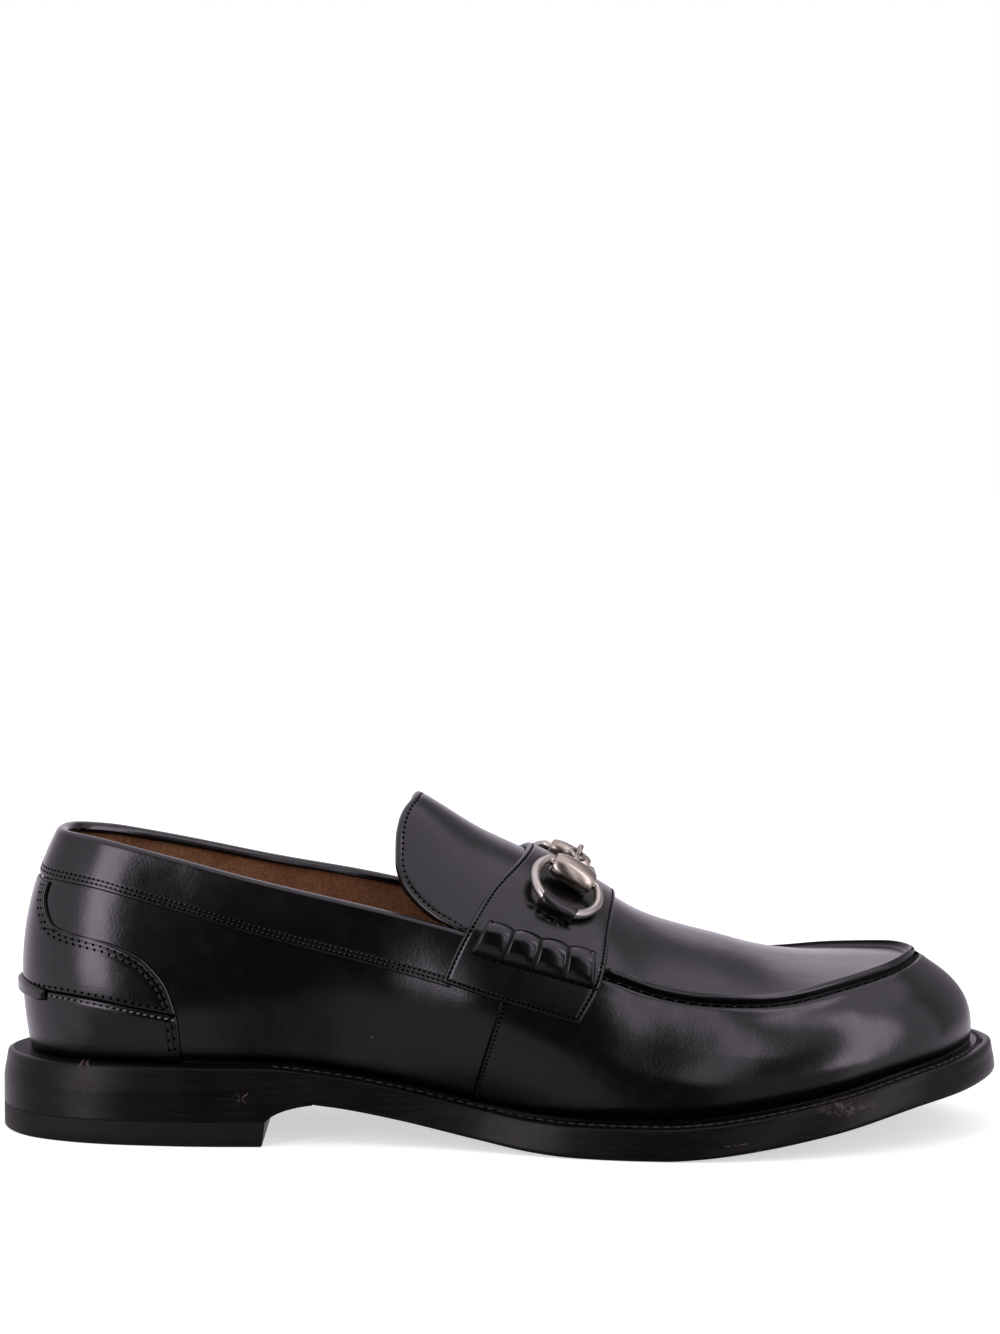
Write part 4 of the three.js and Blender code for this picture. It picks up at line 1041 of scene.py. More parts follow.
# Counter, foxing and the small tab at the heel
counterLook = {
    "lift": 0.3, "thick": 1.0, "edge": 0.85, "across": 60, "along": 150,
    "furrows": (("start end", 1.7, 0.1), ("start end", 3.3, 0.1)),
}
foxingLook = {
    "lift": 0.3, "thick": 1.0, "edge": 0.85, "across": 40, "along": 130,
    "furrows": (("last", 1.2, 0.16), ("start end", 1.5, 0.1), ("start end", 3.2, 0.08)),
}
tabLook = {"lift": 1.1, "thick": 1.7, "edge": 0.8, "across": 14, "along": 60, "reach": 0.0562}


def stripRows(lowOf, highOf, count):
    # rows of the wall between two heights, for wallGrid
    def rowsOf(side):
        low = rowAtHeight(side, lowOf) if lowOf else np.zeros(halfSteps + 1)
        high = rowAtHeight(side, highOf)
        return low[:, None] + (high - low)[:, None] * np.linspace(0, 1, count)

    return rowsOf


def upOf(rows):
    return lambda x, side: collar * read(rows, "up", x / length)


def bandLowHeight(x, side):
    return toplineHeight(x, side) - bandDepth(x)


counterGrid = wallGrid(stripRows(upOf(foxingTop), bandLowHeight, 60), edgeOf(counterEdge), 90)
heelCounterLeather, counterBorders = panelPiece("counterLeather", counterGrid, counterLook, blackLeather)
foxingGrid = wallGrid(stripRows(None, upOf(foxingTop), 40), edgeOf(counterEdge), 90)
foxingLeather, foxingBorders = panelPiece("foxingLeather", foxingGrid, foxingLook, blackLeather)
tabRows = stripRows(upOf(tabLow), upOf(tabHigh), 12)
tabGrid = wallGrid(tabRows, lambda z: tabLook["reach"] * length + 0 * z, 40)
heelTabLeather = panelPiece("heelTabLeather", tabGrid, tabLook, blackLeather)[0]
print("collar, counter, foxing and tab made")

# Sole: outsole, welt and sock lining from rows of how far inside the outline they lie and how high
soleLook = {
    "channelInset": 4.9,  # the sewn channel on the welt
    "channelDepth": 0.6,
    "channelEnd": 80,  # along, where it fades out
    "channelFade": 12,
    "stitchesFrom": 84,
    "topLift": 7.6,
    "liftFront": 81,
    "breastAlong": (82.2, 83.6, 88.2, 96.0),  # the heel's hollowed front, from its foot up
    "breastUp": (9.6, 11.8),
    "heelSteps": 90,
    "breastSteps": 24,
}


def platePiece(name, rows, finishes, hollow=False, upperFrom=None):
    count = len(rows)
    points = []
    for inset, heightOf in rows:
        inset = np.broadcast_to(inset, stationCount)[:, None]
        points.append(lifted(outline + into * inset, heightOf))
    faces = tubeFaces(count, stationCount, hollow)
    caps = () if hollow else (0, (count - 1) * stationCount)
    for start in caps:
        for j in range(halfSteps):
            face = [start + k % stationCount for k in (j, j + 1, stationCount - j - 1, stationCount - j)]
            face = tuple(dict.fromkeys(face if start else face[::-1]))
            if len(face) > 2:
                faces.append(face)
    lined = upperFrom * stationCount if upperFrom else None
    piece = newPiece(name, np.concatenate(points), faces, finishes, smooth=32, lined=lined)
    rework(piece.data, turnOutward)
    return piece


def channelFloor(share):
    # the sewn channel runs round the fore part and fades out beside the heel
    depth, end, fade = (soleLook[name] for name in ("channelDepth", "channelEnd", "channelFade"))
    return lambda x: weltTop(x) - share * depth * np.clip((x - end) / fade, 0, 1)


outsoleRows = (
    (3.0, 0), (1.3, 0), (0.8, 0.1), (0.42, 0.36), (0.26, 0.8), (0.26, 1.4), (0.42, 2.6), (0.68, 4.1),
)
outsoleLeather = platePiece("outsoleLeather", [
    (inset, over(bottomHeight, rise)) for inset, rise in outsoleRows
] + [(inset, over(outsoleTop, 0.02)) for inset in (1.0, 3.0)], [soleEdge])
channel = soleLook["channelInset"]
# the welt's top faces behind the toe take the painted-shade finish
weltStrip = platePiece("weltStrip", [
    (ledge + 1.8, weltLow), (1.6, weltLow), (1.5, over(outsoleTop, 0.03)), (1.0, over(outsoleTop, 0.03)),
    (1.25, over(weltLow, 1.2)), (1.62, over(weltTop, -0.8)), (1.72, over(weltTop, -0.62)),
    (1.86, over(weltTop, -0.5)), (2.3, over(weltTop, -0.22)), (2.75, over(weltTop, -0.06)),
    (3.2, weltTop), (channel - 1.0, weltTop), (channel - 0.7, channelFloor(0.6)),
    (channel - 0.3, channelFloor(1)), (channel + 0.3, channelFloor(1)),
    (channel + 0.7, channelFloor(0.6)), (channel + 1.0, weltTop),
    (ledge + 1.8, weltTop),
], [soleEdge, weltTopShaded], hollow=True, upperFrom=10)
sockInset = ledge + last["upperWall"] + last["gap"]
sockRows = ((0, 0), (0, 4.6), (0.2, 5.05), (0.7, 5.2), (3, 5.1))
sockLining = platePiece("sockLining", [
    (sockInset + more, over(weltLow, rise)) for more, rise in sockRows
], [sockTan])


def heelBreast(share):
    # the front of the heel: along and up
    along = soleLook["breastAlong"]
    up = (soleLook["topLift"], *soleLook["breastUp"], bottomHeight(along[-1]) - 0.02)
    weights = ((1 - share) ** 3, 3 * share * (1 - share) ** 2, 3 * share**2 * (1 - share), share**3)
    return np.dot(weights, along), np.dot(weights, up)


def heelRing(inset, stop, heightOf):
    # one level of the heel: round the back, from the breast's outer end to its inner one, and across it
    ring = lifted(outline + into * inset, heightOf)
    parts = []
    for half in (ring[: halfSteps + 1], ring[innerStations]):
        end = np.interp(stop, half[5:, 0], np.arange(5, len(half)))
        parts.append(between(half, np.linspace(end, 0, soleLook["heelSteps"])))
    across = np.linspace(parts[1][0], parts[0][0], soleLook["breastSteps"])[1:-1]
    return np.vstack([parts[0], parts[1][-2::-1], across])


liftTop = soleLook["topLift"]
liftRows = [(0.75, 0.0), (0.2, 0.12), (0.0, 0.5), (0.02, 4.0), (0.08, 7.3), (0.3, 7.55), (0.9, liftTop)]
liftFront = soleLook["liftFront"]
topLiftPiece = loftPiece("topLiftPiece", [
    heelRing(inset, liftFront + z / liftTop - 0.5 * (inset > 0.15), lambda x: z + 0 * x)
    for inset, z in liftRows
], liftRubber, smooth=32)
stackRings = []
for share in np.linspace(0, 1, 19):
    stop, z = heelBreast(share)
    level = (z - liftTop) / (bottomHeight(stop) - liftTop)
    heightOf = lambda x: liftTop + 0.02 + (bottomHeight(x) - liftTop) * level
    stackRings.append(heelRing(0.08 + 0.12 * share, stop, heightOf))
breastEnd = soleLook["breastAlong"][-1]
stackTop = lambda x: bottomHeight(x) + 1.2 * np.clip((breastEnd - 0.5 - x) / 5, 0, 1)
stackRings.append(heelRing(0.21, breastEnd, stackTop))
heelStackPiece = loftPiece("heelStackPiece", stackRings, soleEdge, smooth=50)
print("sole and heel made")

# Side rolls and bit, laid on the strap's outer face
strapTop = strapLook["lift"] + strapLook["thick"]
facePoints, faceQuads = [], []
for side in (-1, 1):
    strapHalf = sides[side][int(0.36 * halfSteps): int(0.86 * halfSteps)]
    faceQuads += gridFaces(strapHalf.shape[0], strapHalf.shape[1], len(facePoints))
    facePoints += (strapHalf[..., :3] + strapHalf[..., 3:6] * strapTop).reshape(-1, 3).tolist()
strapFace = BVHTree.FromPolygons(facePoints, faceQuads)


def meet(start, way):
    # where a straight line meets the strap's outer face, and which way the face looks there
    spot, normal, _, _ = strapFace.ray_cast(Vector(start), Vector(way).normalized())
    return spot, -normal if normal.dot(Vector(way)) > 0 else normal


rollLook = {
    "ends": ((0.481, 0.706), (0.591, 0.599)),
    "lobes": 4,
    "width": 11.2,
    "height": 4.2,
    "groove": 0.55,
    "pinchReach": 0.4,  # how far a groove's thread and its dip reach
    "dipReach": 1.9,
    "upperSteepness": 0.87,  # under 1, the upper flank is the steeper one
    "fullness": 0.62,  # under 1, rounder than a sine
    "shears": (1.0, -1.2),  # how far the grooves lean forward at the roll's upper edge, at its two ends
    "across": 29,
}
rollEnd = np.array([0, 0.004, 0.012, 0.022])
rollShares = np.concatenate([rollEnd, np.linspace(0.034, 0.966, 132), 1 - rollEnd[::-1]])


def rollRings(side):
    # the roll's rings, the path that its threads lie on, and its painted shade: dark in the crease along the
    # upper edge, in the grooves and along the lower edge
    look = rollLook
    ends = [Vector((a * length, up * collar)) for a, up in look["ends"]]
    rings, paths, rollShades = [], [], []
    total = (ends[1] - ends[0]).length

    def at(share):
        p = ends[0].lerp(ends[1], float(share))
        return meet((p.x, side * 90, p.y), (0, -side, 0))

    for share in rollShares:
        point, normal = at(share)
        way = (at(share + 0.02)[0] - at(share - 0.02)[0]).normalized()
        out = (normal - way * normal.dot(way)).normalized()
        across = out.cross(way) * -side
        inLobe = (share * look["lobes"]) % 1
        fromGroove = min(inLobe, 1 - inLobe) / look["lobes"] * total
        reaches = (look["pinchReach"], look["dipReach"])
        pinch, dip = (hump(fromGroove, 0, reach) * (0.04 < share < 0.96) for reach in reaches)
        end = rounded(min(share, 1 - share) * total + 0.02, 1.5)
        ring, path = [], []
        for down in np.linspace(0, 1, look["across"]):
            # the bolster rises steeply from the strap, is round above and eases out below
            up = 1 - 2 * down
            bulge = max(0.0, math.sin(math.pi * down ** look["upperSteepness"])) ** look["fullness"]
            high = look["height"] * end * bulge
            high = high * (1 - 0.07 * dip) - look["groove"] * pinch * min(1, 6 * down * (1 - down))
            scallop = 1 - max(0.0, up) * (0.13 * dip + 0.05 * pinch)
            wide = look["width"] / 2 * up * scallop * (0.9 + 0.1 * end)
            spot = point + across * wide + way * (np.interp(share, (0, 1), look["shears"]) * up)
            ring.append(spot + out * high)
            path.append(spot + out * (high + 0.1))
        rings.append(ring + [ring[-1] - out * 1.6, ring[0] - out * 1.6])
        paths.append(path)
        # painted shade: the crease under the upper edge, the grooves and the lower edge
        rollShades.append([max(1.0 - 0.45 * k, 0.8 * pinch, 0.0) for k in range(look["across"] - 1)] + [1, 1, 1])
    return np.array(rings), np.array(paths), np.array(rollShades)


bitLook = {
    "along": 0.571,
    "gap": 0.3,
    "ringDiameter": 23.6,
    "ringWire": 2.8,
    "barrelLength": 12.8,
    "barrelWidth": 9.4,
    "barrelThickness": 7.7,
    "barrelLift": 4.05,  # its axis over the strap
    "facets": 8,
    "bulge": 0.055,  # of each facet
    "spread": 17.9,  # middle of the instep to a barrel's axis
    "eyeRadius": 2.3,
    "eyeWire": 1.6,
    "keeperWidth": 11.5,
    "keeperThickness": 0.6,
    "keeperRear": 0.9,  # how far its round back lies behind the ring's wire
    "keeperBow": 0.45,  # how far it follows the ring's curve
}
# Along the barrel as a share of its half length, and its size: cupped at the ends round the ring's wire
barrelProfile = [
    (-0.93, 0.2), (-0.96, 0.45), (-1.02, 0.58), (-1.04, 0.63), (-1.035, 0.68), (-1.0, 0.73),
    (-0.93, 0.785), (-0.8, 0.86), (-0.6, 0.935), (-0.35, 0.985), (0, 1.005),
]
barrelProfile += [(-a, b) for a, b in barrelProfile[-2::-1]]
armProfile = ((0, 0.9), (0.08, 0.98), (0.25, 1.2), (0.45, 1.42), (0.7, 1.58), (1, 1.6))
keeperLevels = [(0, 0), (0.25, 0), (0.5, 0), (0.75, 0), (0.93, 0), (0.985, 0.1), (1, 0.25)]
keeperLevels = [(-a, b) for a, b in keeperLevels[:0:-1]] + keeperLevels


def circleAt(centre, first, second, radius, count, turn=0.0):
    angles = [2 * math.pi * (k + turn) / count for k in range(count)]
    return [centre + first * (radius * math.cos(a)) + second * (radius * math.sin(a)) for a in angles]


def keeperSection(wire):
    # a strip of leather over the ring's wire, its ends under the strap: away from the barrel, and up
    inner = wire + 0.06
    outer = inner + bitLook["keeperThickness"]
    deep, rear = -wire - 2.6, bitLook["keeperRear"]
    section = [(0.35 * outer, deep), (0.87 * outer, -0.5 * outer)]
    section += [(outer * math.cos(a), outer * math.sin(a)) for a in np.radians(np.arange(0, 91, 15))]
    section += [(-rear * 0.5, outer * 1.01)]
    section += [(-rear - outer * math.sin(a), outer * math.cos(a)) for a in np.radians(np.arange(0, 76, 15))]
    section += [(-rear - 1.05 * outer, -0.4 * outer), (-rear - 1.1 * outer, deep)]
    section += [(-rear - 0.6 * inner, deep), (-rear - 0.55 * inner, -0.2 * inner)]
    section += [(-rear * 0.6, inner * 0.95), (0, inner), (0.75 * inner, 0.72 * inner)]
    section += [(inner, 0), (0.86 * inner, -0.5 * inner), (-0.3, deep)]
    return np.array(section), outer


def bitPieces(side, name):
    look = bitLook
    gap = look["gap"]
    x = look["along"] * length
    slope = math.atan2(ridgeHeight(x - 8) - ridgeHeight(x + 8), 16)
    forward = Vector((math.cos(slope), 0, -math.sin(slope)))
    square = Vector((math.sin(slope), 0, math.cos(slope)))
    crest = meet((x, ridgeSide(x), 200), (0, 0, -1))[0]
    wire = look["ringWire"] / 2
    ringRadius = (look["ringDiameter"] - look["ringWire"]) / 2
    cord = look["barrelLength"] / 2 + 1.6
    ringSet = math.sqrt(ringRadius**2 - cord**2)
    out = Vector((0, side, 0))
    seat, normal = meet(crest + out * look["spread"] + square * 40, -square)
    axis = seat + (normal - forward * normal.dot(forward)).normalized() * look["barrelLift"]

    def wireAt(swing, angle):
        way = out * math.cos(swing) - square * math.sin(swing)
        spot = axis + way * (ringSet - ringRadius * math.cos(angle))
        return spot + forward * (ringRadius * math.sin(angle))

    def clearance(swing):
        spots = [wireAt(swing, math.pi * k / 8) for k in range(3, 14)]
        feet = [meet(spot + square * 40, -square) for spot in spots]
        return min(facing.dot(spot - foot) for spot, (foot, facing) in zip(spots, feet))

    # the ring swings down until it nearly lies on the strap
    shallow, steep = 0.0, 1.3
    for _ in range(30):
        half = (shallow + steep) / 2
        if clearance(half) > wire + 1.5 * gap:
            shallow = half
        else:
            steep = half
    down = out * math.cos(shallow) - square * math.sin(shallow)
    off = forward.cross(down) * -side
    if off.dot(square) < 0:
        off = -off

    # the ring, flat where it runs through the barrel
    opened = math.asin(cord / ringRadius)
    rings = []
    steps = 84
    for k in range(steps + 1):
        angle = opened + (2 * math.pi - 2 * opened) * k / steps
        outward = forward * math.sin(angle) - down * math.cos(angle)
        mitred = (outward - down).normalized() / math.cos(opened / 2)
        across = mitred if k in (0, steps) else outward
        rings.append(circleAt(axis + down * ringSet + outward * ringRadius, across, off, wire, 20))
    ring = loftPiece("ringPiece" + name, rings, satinSteel, closed=True)

    barrelRings = []
    flatter = off * (look["barrelThickness"] / look["barrelWidth"])
    for at, share in barrelProfile:
        corners = circleAt(Vector(), down, flatter, share * look["barrelWidth"] / 2, look["facets"], 0.5)
        centre = axis + forward * (at * look["barrelLength"] / 2)
        barrelRings.append([
            centre + a.lerp(b, t) * (1 + look["bulge"] * math.sin(math.pi * t))
            for a, b in zip(corners, corners[1:] + corners[:1]) for t in (0.1, 0.3, 0.5, 0.7, 0.9)
        ])
    barrel = loftPiece("barrelPiece" + name, barrelRings, agedSteel, smooth=40)

    # its arm and eye, on the middle of the instep
    eyeMiddle = crest + square * (look["eyeRadius"] + look["eyeWire"] / 2 + 2 * gap)
    eyeCentre = eyeMiddle + out * (look["eyeRadius"] / 2)
    armWay = (axis - eyeCentre).normalized()
    armOff = armWay.cross(forward).normalized()
    armStart = eyeCentre + armWay * look["eyeRadius"]
    armRings = [circleAt(armStart.lerp(axis, at), forward, armOff, radius, 20) for at, radius in armProfile]
    arm = loftPiece("armPiece" + name, armRings, agedSteel)
    flat, eyeSide = (forward, armOff) if side < 0 else (armOff, forward)
    eyeRings = [circleAt(eyeCentre + outward * look["eyeRadius"], outward, eyeSide, look["eyeWire"] / 2, 14)
                for outward in circleAt(Vector(), armWay, flat, 1, 36)]
    eye = loftPiece("eyePiece" + name, eyeRings, agedSteel, closed=True)

    section, outer = keeperSection(wire)
    far = wireAt(shallow, math.pi)
    keeperRings = []
    for at, drawn in keeperLevels:
        along = at * look["keeperWidth"] / 2
        bow = look["keeperBow"] * (ringRadius - math.sqrt(ringRadius**2 - along**2))
        here = section + (section.mean(axis=0) - section) * drawn * 0.35
        spreads = 1 - 0.12 * np.maximum(0.0, (section[:, 0] - outer * 0.2) / outer) * abs(at)
        keeperRings.append([
            far + down * (a - bow) + off * up + forward * (along * spread)
            for (a, up), spread in zip(here, spreads)
        ])
    keeper = loftPiece("keeperLeather" + name, keeperRings, keeperBlack, smooth=60)
    return ring, barrel, arm, eye, keeper


rolls, rollPaths, bits = {}, {}, {}
for side, name in ((-1, "Outer"), (1, "Inner")):
    rings, rollPaths[side], rollInkShade = rollRings(side)
    rolls[side] = loftPiece("rollLeather" + name, rings, blackLeather, inkShade=rollInkShade)
    bits[side] = bitPieces(side, name)
print("rolls and bit made")


# Stitches: threads, and black discs painted as the shade in needle holes, set along lines on the leather
def stitchTree():
    tree = bpy.data.node_groups.new("stitches", "GeometryNodeTree")

    def node(kind, sockets=None, output=0, **settings):
        return newNode(tree, kind, sockets, **settings).outputs[output]

    def maths(operation, a, b):
        return node("ShaderNodeMath", {0: a, 1: b}, operation=operation)

    names = ("Lines", "Pitch", "Thread Length", "Thread Width", "Thread Height", "Hole Width", "Slant",
             "Uneven", "Seed", "Thread", "Hole")
    kinds = {"Lines": "Geometry", "Seed": "Int", "Thread": "Material", "Hole": "Material"}
    for name in names:
        tree.interface.new_socket(name, in_out="INPUT", socket_type="NodeSocket" + kinds.get(name, "Float"))
    tree.interface.new_socket("Stitches", in_out="OUTPUT", socket_type="NodeSocketGeometry")
    given = tree.nodes.new("NodeGroupInput").outputs
    curve = node("GeometryNodeMeshToCurve", {0: given["Lines"]})
    marks = node("GeometryNodeResampleCurve", {"Curve": curve, "Length": given["Pitch"]}, mode="LENGTH")
    tangent = node("GeometryNodeInputTangent")
    outward = node("GeometryNodeInputNamedAttribute", {"Name": "outward"}, data_type="FLOAT_VECTOR")
    facing = node("FunctionNodeAlignRotationToVector", {"Vector": tangent}, axis="X")
    facing = node("FunctionNodeAlignRotationToVector", {"Rotation": facing, "Vector": outward},
                  axis="Z", pivot_axis="X")
    less = maths("MULTIPLY", given["Uneven"], -1.0)
    sway = node("FunctionNodeRandomValue", {2: less, 3: given["Uneven"], "Seed": given["Seed"]}, 1)
    turn = node("ShaderNodeCombineXYZ", {"Z": maths("ADD", given["Slant"], sway)})
    turn = node("FunctionNodeEulerToRotation", {0: turn})
    facing = node("FunctionNodeRotateRotation", {"Rotation": facing, "Rotate By": turn},
                  rotation_space="LOCAL")
    longer = maths("MULTIPLY", given["Thread Length"], maths("ADD", sway, 1.0))
    wide = given["Hole Width"]
    threadSize = {"X": longer, "Y": given["Thread Width"], "Z": given["Thread Height"]}
    threadSize = node("ShaderNodeCombineXYZ", threadSize)
    holeSize = node("ShaderNodeCombineXYZ", {"X": wide, "Y": wide, "Z": 0.00012})
    half = maths("MULTIPLY", given["Pitch"], 0.5)
    along = node("ShaderNodeVectorMath", {0: tangent, "Scale": half}, operation="SCALE")
    holes = node("GeometryNodeSetPosition", {"Geometry": marks, "Offset": along})
    joined = tree.nodes.new("GeometryNodeJoinGeometry")
    threads = (marks, threadSize, 8, given["Thread"])
    for places, size, segments, finish in (threads, (holes, holeSize, 7, given["Hole"])):
        bead = node("GeometryNodeMeshUVSphere", {"Segments": segments, "Rings": 5, "Radius": 0.5})
        bead = node("GeometryNodeSetShadeSmooth", {"Geometry": bead})
        sockets = {"Points": places, "Instance": bead, "Rotation": facing, "Scale": size}
        solid = node("GeometryNodeRealizeInstances", {0: node("GeometryNodeInstanceOnPoints", sockets)})
        painted = node("GeometryNodeSetMaterial", {"Geometry": solid, "Material": finish})
        feed(tree, joined.inputs[0], painted)
    feed(tree, tree.nodes.new("NodeGroupOutput").inputs[0], joined.outputs[0])
    return tree


stitches = stitchTree()
stitchRows = []


def sewn(name, lines, look, finish):
    # one piece of stitches along lines of points with their outward normals, all in the last's millimetres
    points, edges, outward = [], [], []
    for line in lines:
        edges += [(len(points) + k, len(points) + k + 1) for k in range(len(line) - 1)]
        points += place(line).tolist()
        outward += line[:, 3:6].tolist()
    mesh = bpy.data.meshes.new(name)
    mesh.from_pydata(points, edges, [])
    mesh.attributes.new("outward", "FLOAT_VECTOR", "POINT").data.foreach_set("vector", np.ravel(outward))
    piece = linked(name, mesh)
    rows = piece.modifiers.new("stitches", "NODES")
    rows.node_group = stitches
    values = {
        "Pitch": look["pitch"] * mm, "Hole Width": look["hole"] * mm,
        "Thread Length": look["length"] * mm, "Thread Width": look["width"] * mm,
        "Thread Height": look.get("height", look["width"]) * mm,
        "Slant": math.radians(look.get("slant", 0)), "Uneven": 0.1, "Seed": len(stitchRows) + 3,
        "Thread": finish, "Hole": pinholeShade,
    }
    for socket in stitches.interface.items_tree:
        if socket.name in values:
            rows[socket.identifier] = values[socket.name]
    baked = bpy.data.meshes.new_from_object(piece.evaluated_get(bpy.context.evaluated_depsgraph_get()))
    piece.modifiers.clear()
    piece.data = baked
    stitchRows.append(piece)


def skinOf(piece):
    faces = [tuple(face.vertices) for face in piece.data.polygons]
    return BVHTree.FromPolygons([corner.co / mm for corner in piece.data.vertices], faces)


def laidOn(skin, line, lift=0.02):
    # a line brought onto a piece's outer face; points that miss it are dropped
    kept = []
    origin = Vector(lastOrigin)
    for p in line:
        outward = Vector(p[3:6]).normalized()
        hit = skin.ray_cast(Vector(p[:3]) + origin + outward * 6, -outward, 12)[0]
        if hit:
            kept.append([*(hit + outward * lift - origin), *outward])
    return np.array(kept)


def stepped(line, start=0.4):
    return atDistances(line, np.arange(start, alongLine(line)[-1], 0.4))


def borderLines(piece, borders, *rows):
    # lines beside a panel's borders, each without what lies nearer than that to the other stitched borders
    skin = skinOf(piece)
    lines = []
    for edge, away, others in rows:
        border = borders[edge]
        line = stepped(np.column_stack([border[:, :3] + border[:, 6:9] * away, border[:, 3:6]]), 0)
        for other in others.split():
            line = line[nearestOn(borders[other], line) > away - 0.1]
        lines.append(laidOn(skin, line))
    return lines


strapSeam = {"pitch": 1.5, "length": 0.85, "width": 0.36, "height": 0.14, "hole": 1.1, "slant": 30}
fineSeam = {"pitch": 1.4, "length": 0.7, "width": 0.24, "height": 0.1, "hole": 0.85, "slant": 25}
tongueSeam = {"pitch": 1.9, "length": 0.9, "width": 0.2, "height": 0.06, "hole": 0.98}
bandSeam = {"pitch": 1.55, "length": 0.85, "width": 0.32, "height": 0.3, "hole": 0.85, "slant": 20}
pinRow = {"pitch": 2.3, "length": 1.2, "width": 0.26, "height": 0.16, "hole": 1.05}
foxingSeam = {"pitch": 2.1, "length": 1.35, "width": 0.6, "hole": 0.85, "slant": 15}
weltSeam = {"pitch": 3.1, "length": 2.4, "width": 0.8, "height": 0.7, "hole": 0.6}
handSeam = {"pitch": 3.5, "length": 1.9, "width": 0.62, "height": 0.5, "hole": 0.8, "slant": 34}
whipLook = {"pitch": 0.55, "length": 0.75, "width": 0.26, "height": 0.22, "hole": 0.05, "slant": 18}

pairs = (("first last", "start end"), ("start end", "first last"))
strapRows = [(edge, 1.5, others) for edges, others in pairs for edge in edges.split()]
sewn("strapStitches", borderLines(strapLeather, strapBorders, *strapRows), strapSeam, dullBlack)
sewn("tongueStitches", borderLines(tongueLeather, tongueBorders, ("first", 2.0, "")), tongueSeam, dullBlack)
bandRows = [np.column_stack([raised(bandLines[:, k], 0.03)[:, :3], bandLines[:, k, 3:6]]) for k in (6, 11)]
sewn("bandStitches", bandRows, bandSeam, weltThread)
counterRows = [(edge, away, "first") for edge in ("start", "end") for away in (1.6, 3.0)]
counterRows += [("first", 1.6, "")]
sewn("counterStitches", borderLines(heelCounterLeather, counterBorders, *counterRows), pinRow, blackThread)
foxingRow = borderLines(foxingLeather, foxingBorders, ("last", 1.2, "start end"))
sewn("foxingStitches", foxingRow, foxingSeam, greyThread)
endRows = [(edge, away, "last") for edge in ("start", "end") for away in (1.5, 3.2)]
foxingEnds = borderLines(foxingLeather, foxingBorders, *endRows)
sewn("foxingEndStitches", foxingEnds, pinRow | {"pitch": 2.8}, blackThread)

# The side seam in front of the vamp's folded rear edge
vampSkin = skinOf(vampLeather)
seamRows = []
for side in (-1, 1):
    edge = edgeOf(vampRear, 1.5)
    seam = np.stack([fromEdge(line, edge, 1)[0] for line in np.swapaxes(sides[side], 0, 1)[: crestRow - 6]])
    seamRows.append(laidOn(vampSkin, stepped(seam)))
sewn("sideSeamStitches", seamRows, fineSeam, blackThread)

# The welt's stitches in their channel, round the fore part
row = lifted(outline + into * channel, over(weltTop, -0.1))
row = np.column_stack([row, np.tile((0, 0, 1), (stationCount, 1))])
sewn("weltStitches", [row[row[:, 0] > soleLook["stitchesFrom"]]], weltSeam, weltThread)

# Hand stitches across the apron's furrow
fore = surface[:, crestRow, 0] > 0.6 * length
seam = withInward(surface[fore, crestRow], surface[fore, crestRow - 8])
handRow = np.column_stack([seam[:, :3] + seam[:, 6:9] * 1.75, seam[:, 3:6]])
handRow = laidOn(vampSkin, softened(softened(stepped(handRow), 9), 6), 0.0)
sewn("apronStitches", [handRow], handSeam, blackThread)

# The rolls' threads: two down each groove, one along the scalloped upper edge and a row of stitches below
whips, uppers, lowers = [], [], []
for side in (-1, 1):
    path = rollPaths[side]
    outward = unit(np.cross(np.gradient(path, axis=0), np.gradient(path, axis=1)))
    outward *= np.sign((outward * np.array([0, side, 0.4])).sum(axis=-1).mean())
    both = np.concatenate([path, outward], axis=2)
    for k in range(rollLook["lobes"] + 1):
        for off in (-0.012, 0.012):
            at = np.clip(k / rollLook["lobes"] + off, 0.01, 0.99)
            whips.append(between(both, np.interp([at], rollShares, np.arange(len(rollShares))))[0][1:-2])
    uppers.append(both[2:-2, 1])
    lowers.append(both[2:-2, -1])
sewn("rollWhips", whips, whipLook, blackThread)
sewn("rollUpperThread", uppers, {"pitch": 0.8, "length": 0.9, "width": 0.5, "hole": 0.5}, dullBlack)
sewn("rollLowerStitches", lowers, {"pitch": 2.6, "length": 1.7, "width": 0.4, "hole": 1.0}, dullBlack)
print("stitches sewn")

# Stage: a pale floor, soft boxes and the camera
view = {"place": (-0.3, -998.874, 226), "target": (-0.3, 1.126, 45), "lens": 90.36, "shift": (0.0011, 0.232)}
camera = linked("camera", bpy.data.cameras.new("camera"))
camera.location = Vector(view["place"]) * mm
sight = Vector(view["target"]) * mm - camera.location
camera.rotation_euler = sight.to_track_quat("-Z", "Y").to_euler()
camera.data.lens = view["lens"]
camera.data.shift_x, camera.data.shift_y = view["shift"]
camera.data.clip_start = 0.01
bpy.context.scene.camera = camera
bpy.context.scene.view_settings.view_transform = "Standard"

reach = 5
floorMesh = bpy.data.meshes.new("floor")
floorMesh.from_pydata(
    [(-reach, -reach, 0), (reach, -reach, 0), (reach, reach, 0), (-reach, reach, 0)], [], [(0, 1, 2, 3)])
floor = linked("floor", floorMesh)
floor.visible_glossy = False  # the leather mirrors the studio's dark front, not the white sheet
floorLook = {"colour": (0.72, 0.79, 0.695), "glow": 0.58}
floorPaint = Paint("floorWhite")
floorPaint.set(Base_Color=floorLook["colour"], Roughness=1.0, Specular_IOR_Level=0.0,
               Emission_Color=(1, 1, 1), Emission_Strength=floorLook["glow"])
floorMesh.materials.append(floorPaint.material)

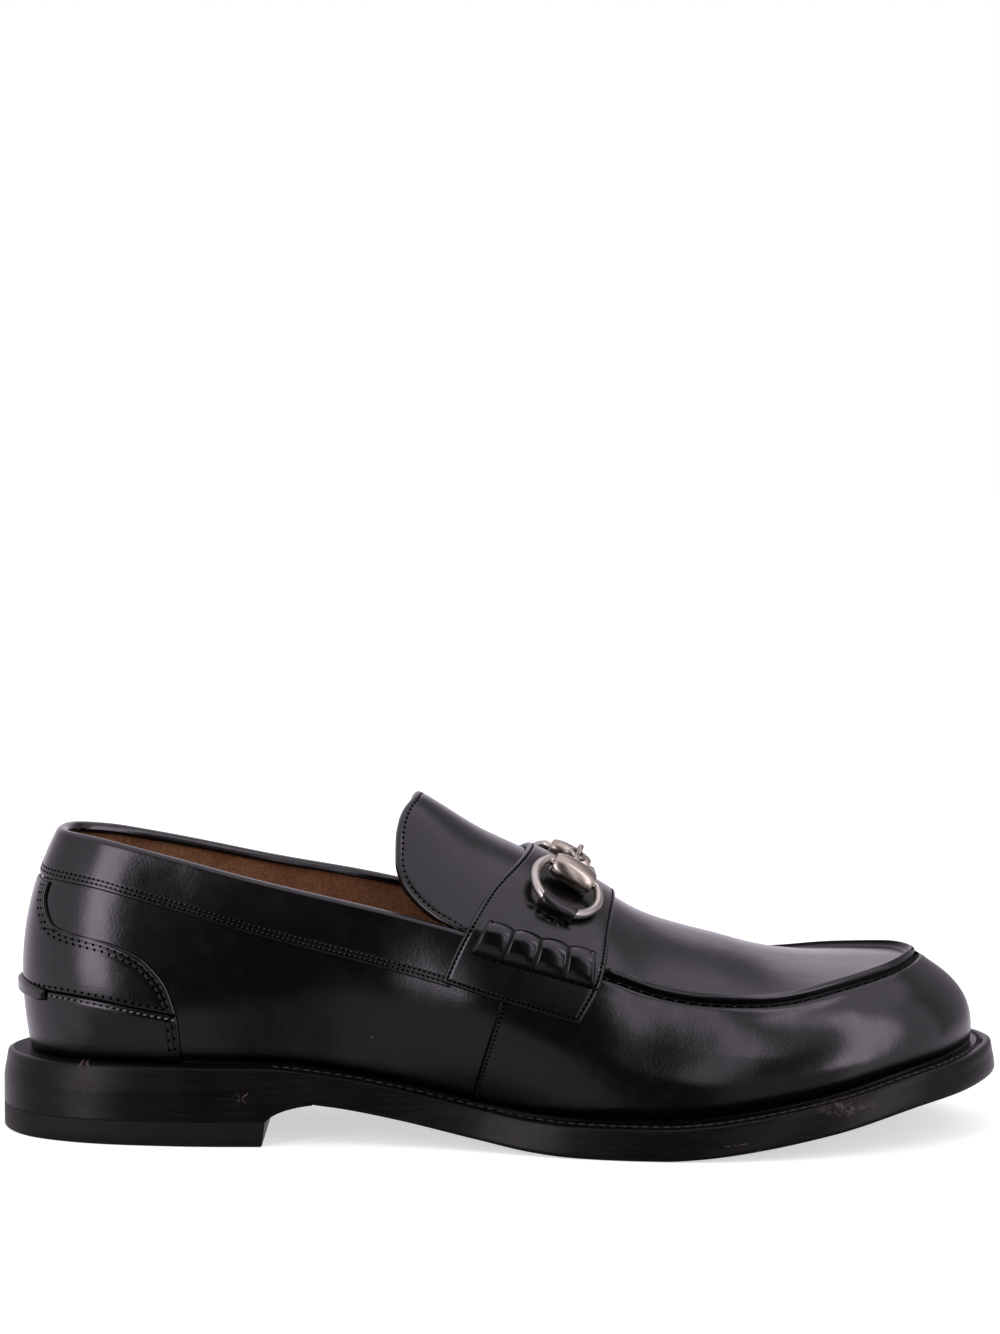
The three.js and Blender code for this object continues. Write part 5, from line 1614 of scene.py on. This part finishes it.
# The studio as the leather mirrors it. Turn is 0 toward the camera and 90 toward the toe; rise is over the
# horizon. Each area lies over those before it: turn from and to, rise from and to, edge, slant, brightness.
studio = (
    ("back grey", 98, 164, -5, 50, 8, 0, 0.36),
    ("back white", 166, 220, 24, 46, 7, 0, 1.35),
    ("ceiling", -180, 180, 54, 91, 6, 0, 1.2),
    ("dark front", -34, 33, -90, 57, 5, 0.12, 0.025),
    ("grey front right", 9, 32, -50, 14, 7, 0, 0.1),
    ("near floor", -180, 180, -91, -31, 5, 0, 0.04),
    ("floor left", -50, -10, -50, -18, 4, 0, 0.36),
    ("floor right", 14, 45, -42, -10, 5, 0, 0.3),
    ("left window", -49.5, -32, -12, 41, 4, 0.07, 4.5),
    ("slim window, low", 8.5, 18, -18, 20, 3, 0.28, 1.35),
    ("slim window, high", 9, 19.5, 16, 55, 3, 0.28, 2.2),
    ("right window", 37.5, 56.5, -9, 62, 3.5, 0.2, 3.5),
)
world = bpy.data.worlds.new("world")
bpy.context.scene.world = world
sky = Paint(world=world)
turn = sky.maths("ARCTAN2", sky.x, sky.y * -1) * (180 / math.pi)
rise = sky.maths("ARCSINE", sky.z) * (180 / math.pi)


def within(value, low, high, edge):
    return sky.step(value, low - edge, low + edge) * sky.step(value, high + edge, high - edge)


brightness = 0.85
for _, turnFrom, turnTo, riseFrom, riseTo, edge, slant, level in studio:
    here = within(rise, riseFrom, riseTo, edge)
    if turnTo - turnFrom < 360:
        here = here * within(turn - rise * slant, turnFrom, turnTo, edge)
    brightness = brightness + (level - brightness) * here
seen = sky.wire("ShaderNodeLightPath", None, "Is Camera Ray")
sky.set(Color=sky.blend(seen, (1.0, 0.91, 1.04), (1, 1, 1)), Strength=brightness + (1 - brightness) * seen)

# Riding and replacing: each piece rides the root and hides the solid it replaces
leathers = {
    quarterLeather: "upper", vampLeather: "upper", tongueLeather: "tongue", strapLeather: "saddle_strap",
    collarBinding: "collar_band", heelCounterLeather: "heel_counter", foxingLeather: "heel_foxing",
    heelTabLeather: "heel_tab",
}
metals = {}
for side, name in ((-1, "outer"), (1, "inner")):
    ring, barrel, arm, eye, keeper = bits[side]
    leathers |= {rolls[side]: "roll_" + name, keeper: "keeper_" + name}
    metals[ring] = "bit_ring_" + name
    metals |= dict.fromkeys((barrel, arm, eye), "bit_barrel_" + name)
soles = {outsoleLeather: "outsole", weltStrip: "welt", heelStackPiece: "heel_stack"}
slots = {
    "leather": leathers, "bit": metals, "sole": soles, "lining": {sockLining: "insole"},
    "top_lift": {topLiftPiece: "top_lift"},
}
for slotName, group in slots.items():
    for piece, node in group.items():
        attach(piece, "root")
        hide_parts(node)

for piece in stitchRows:
    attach(piece, "root")
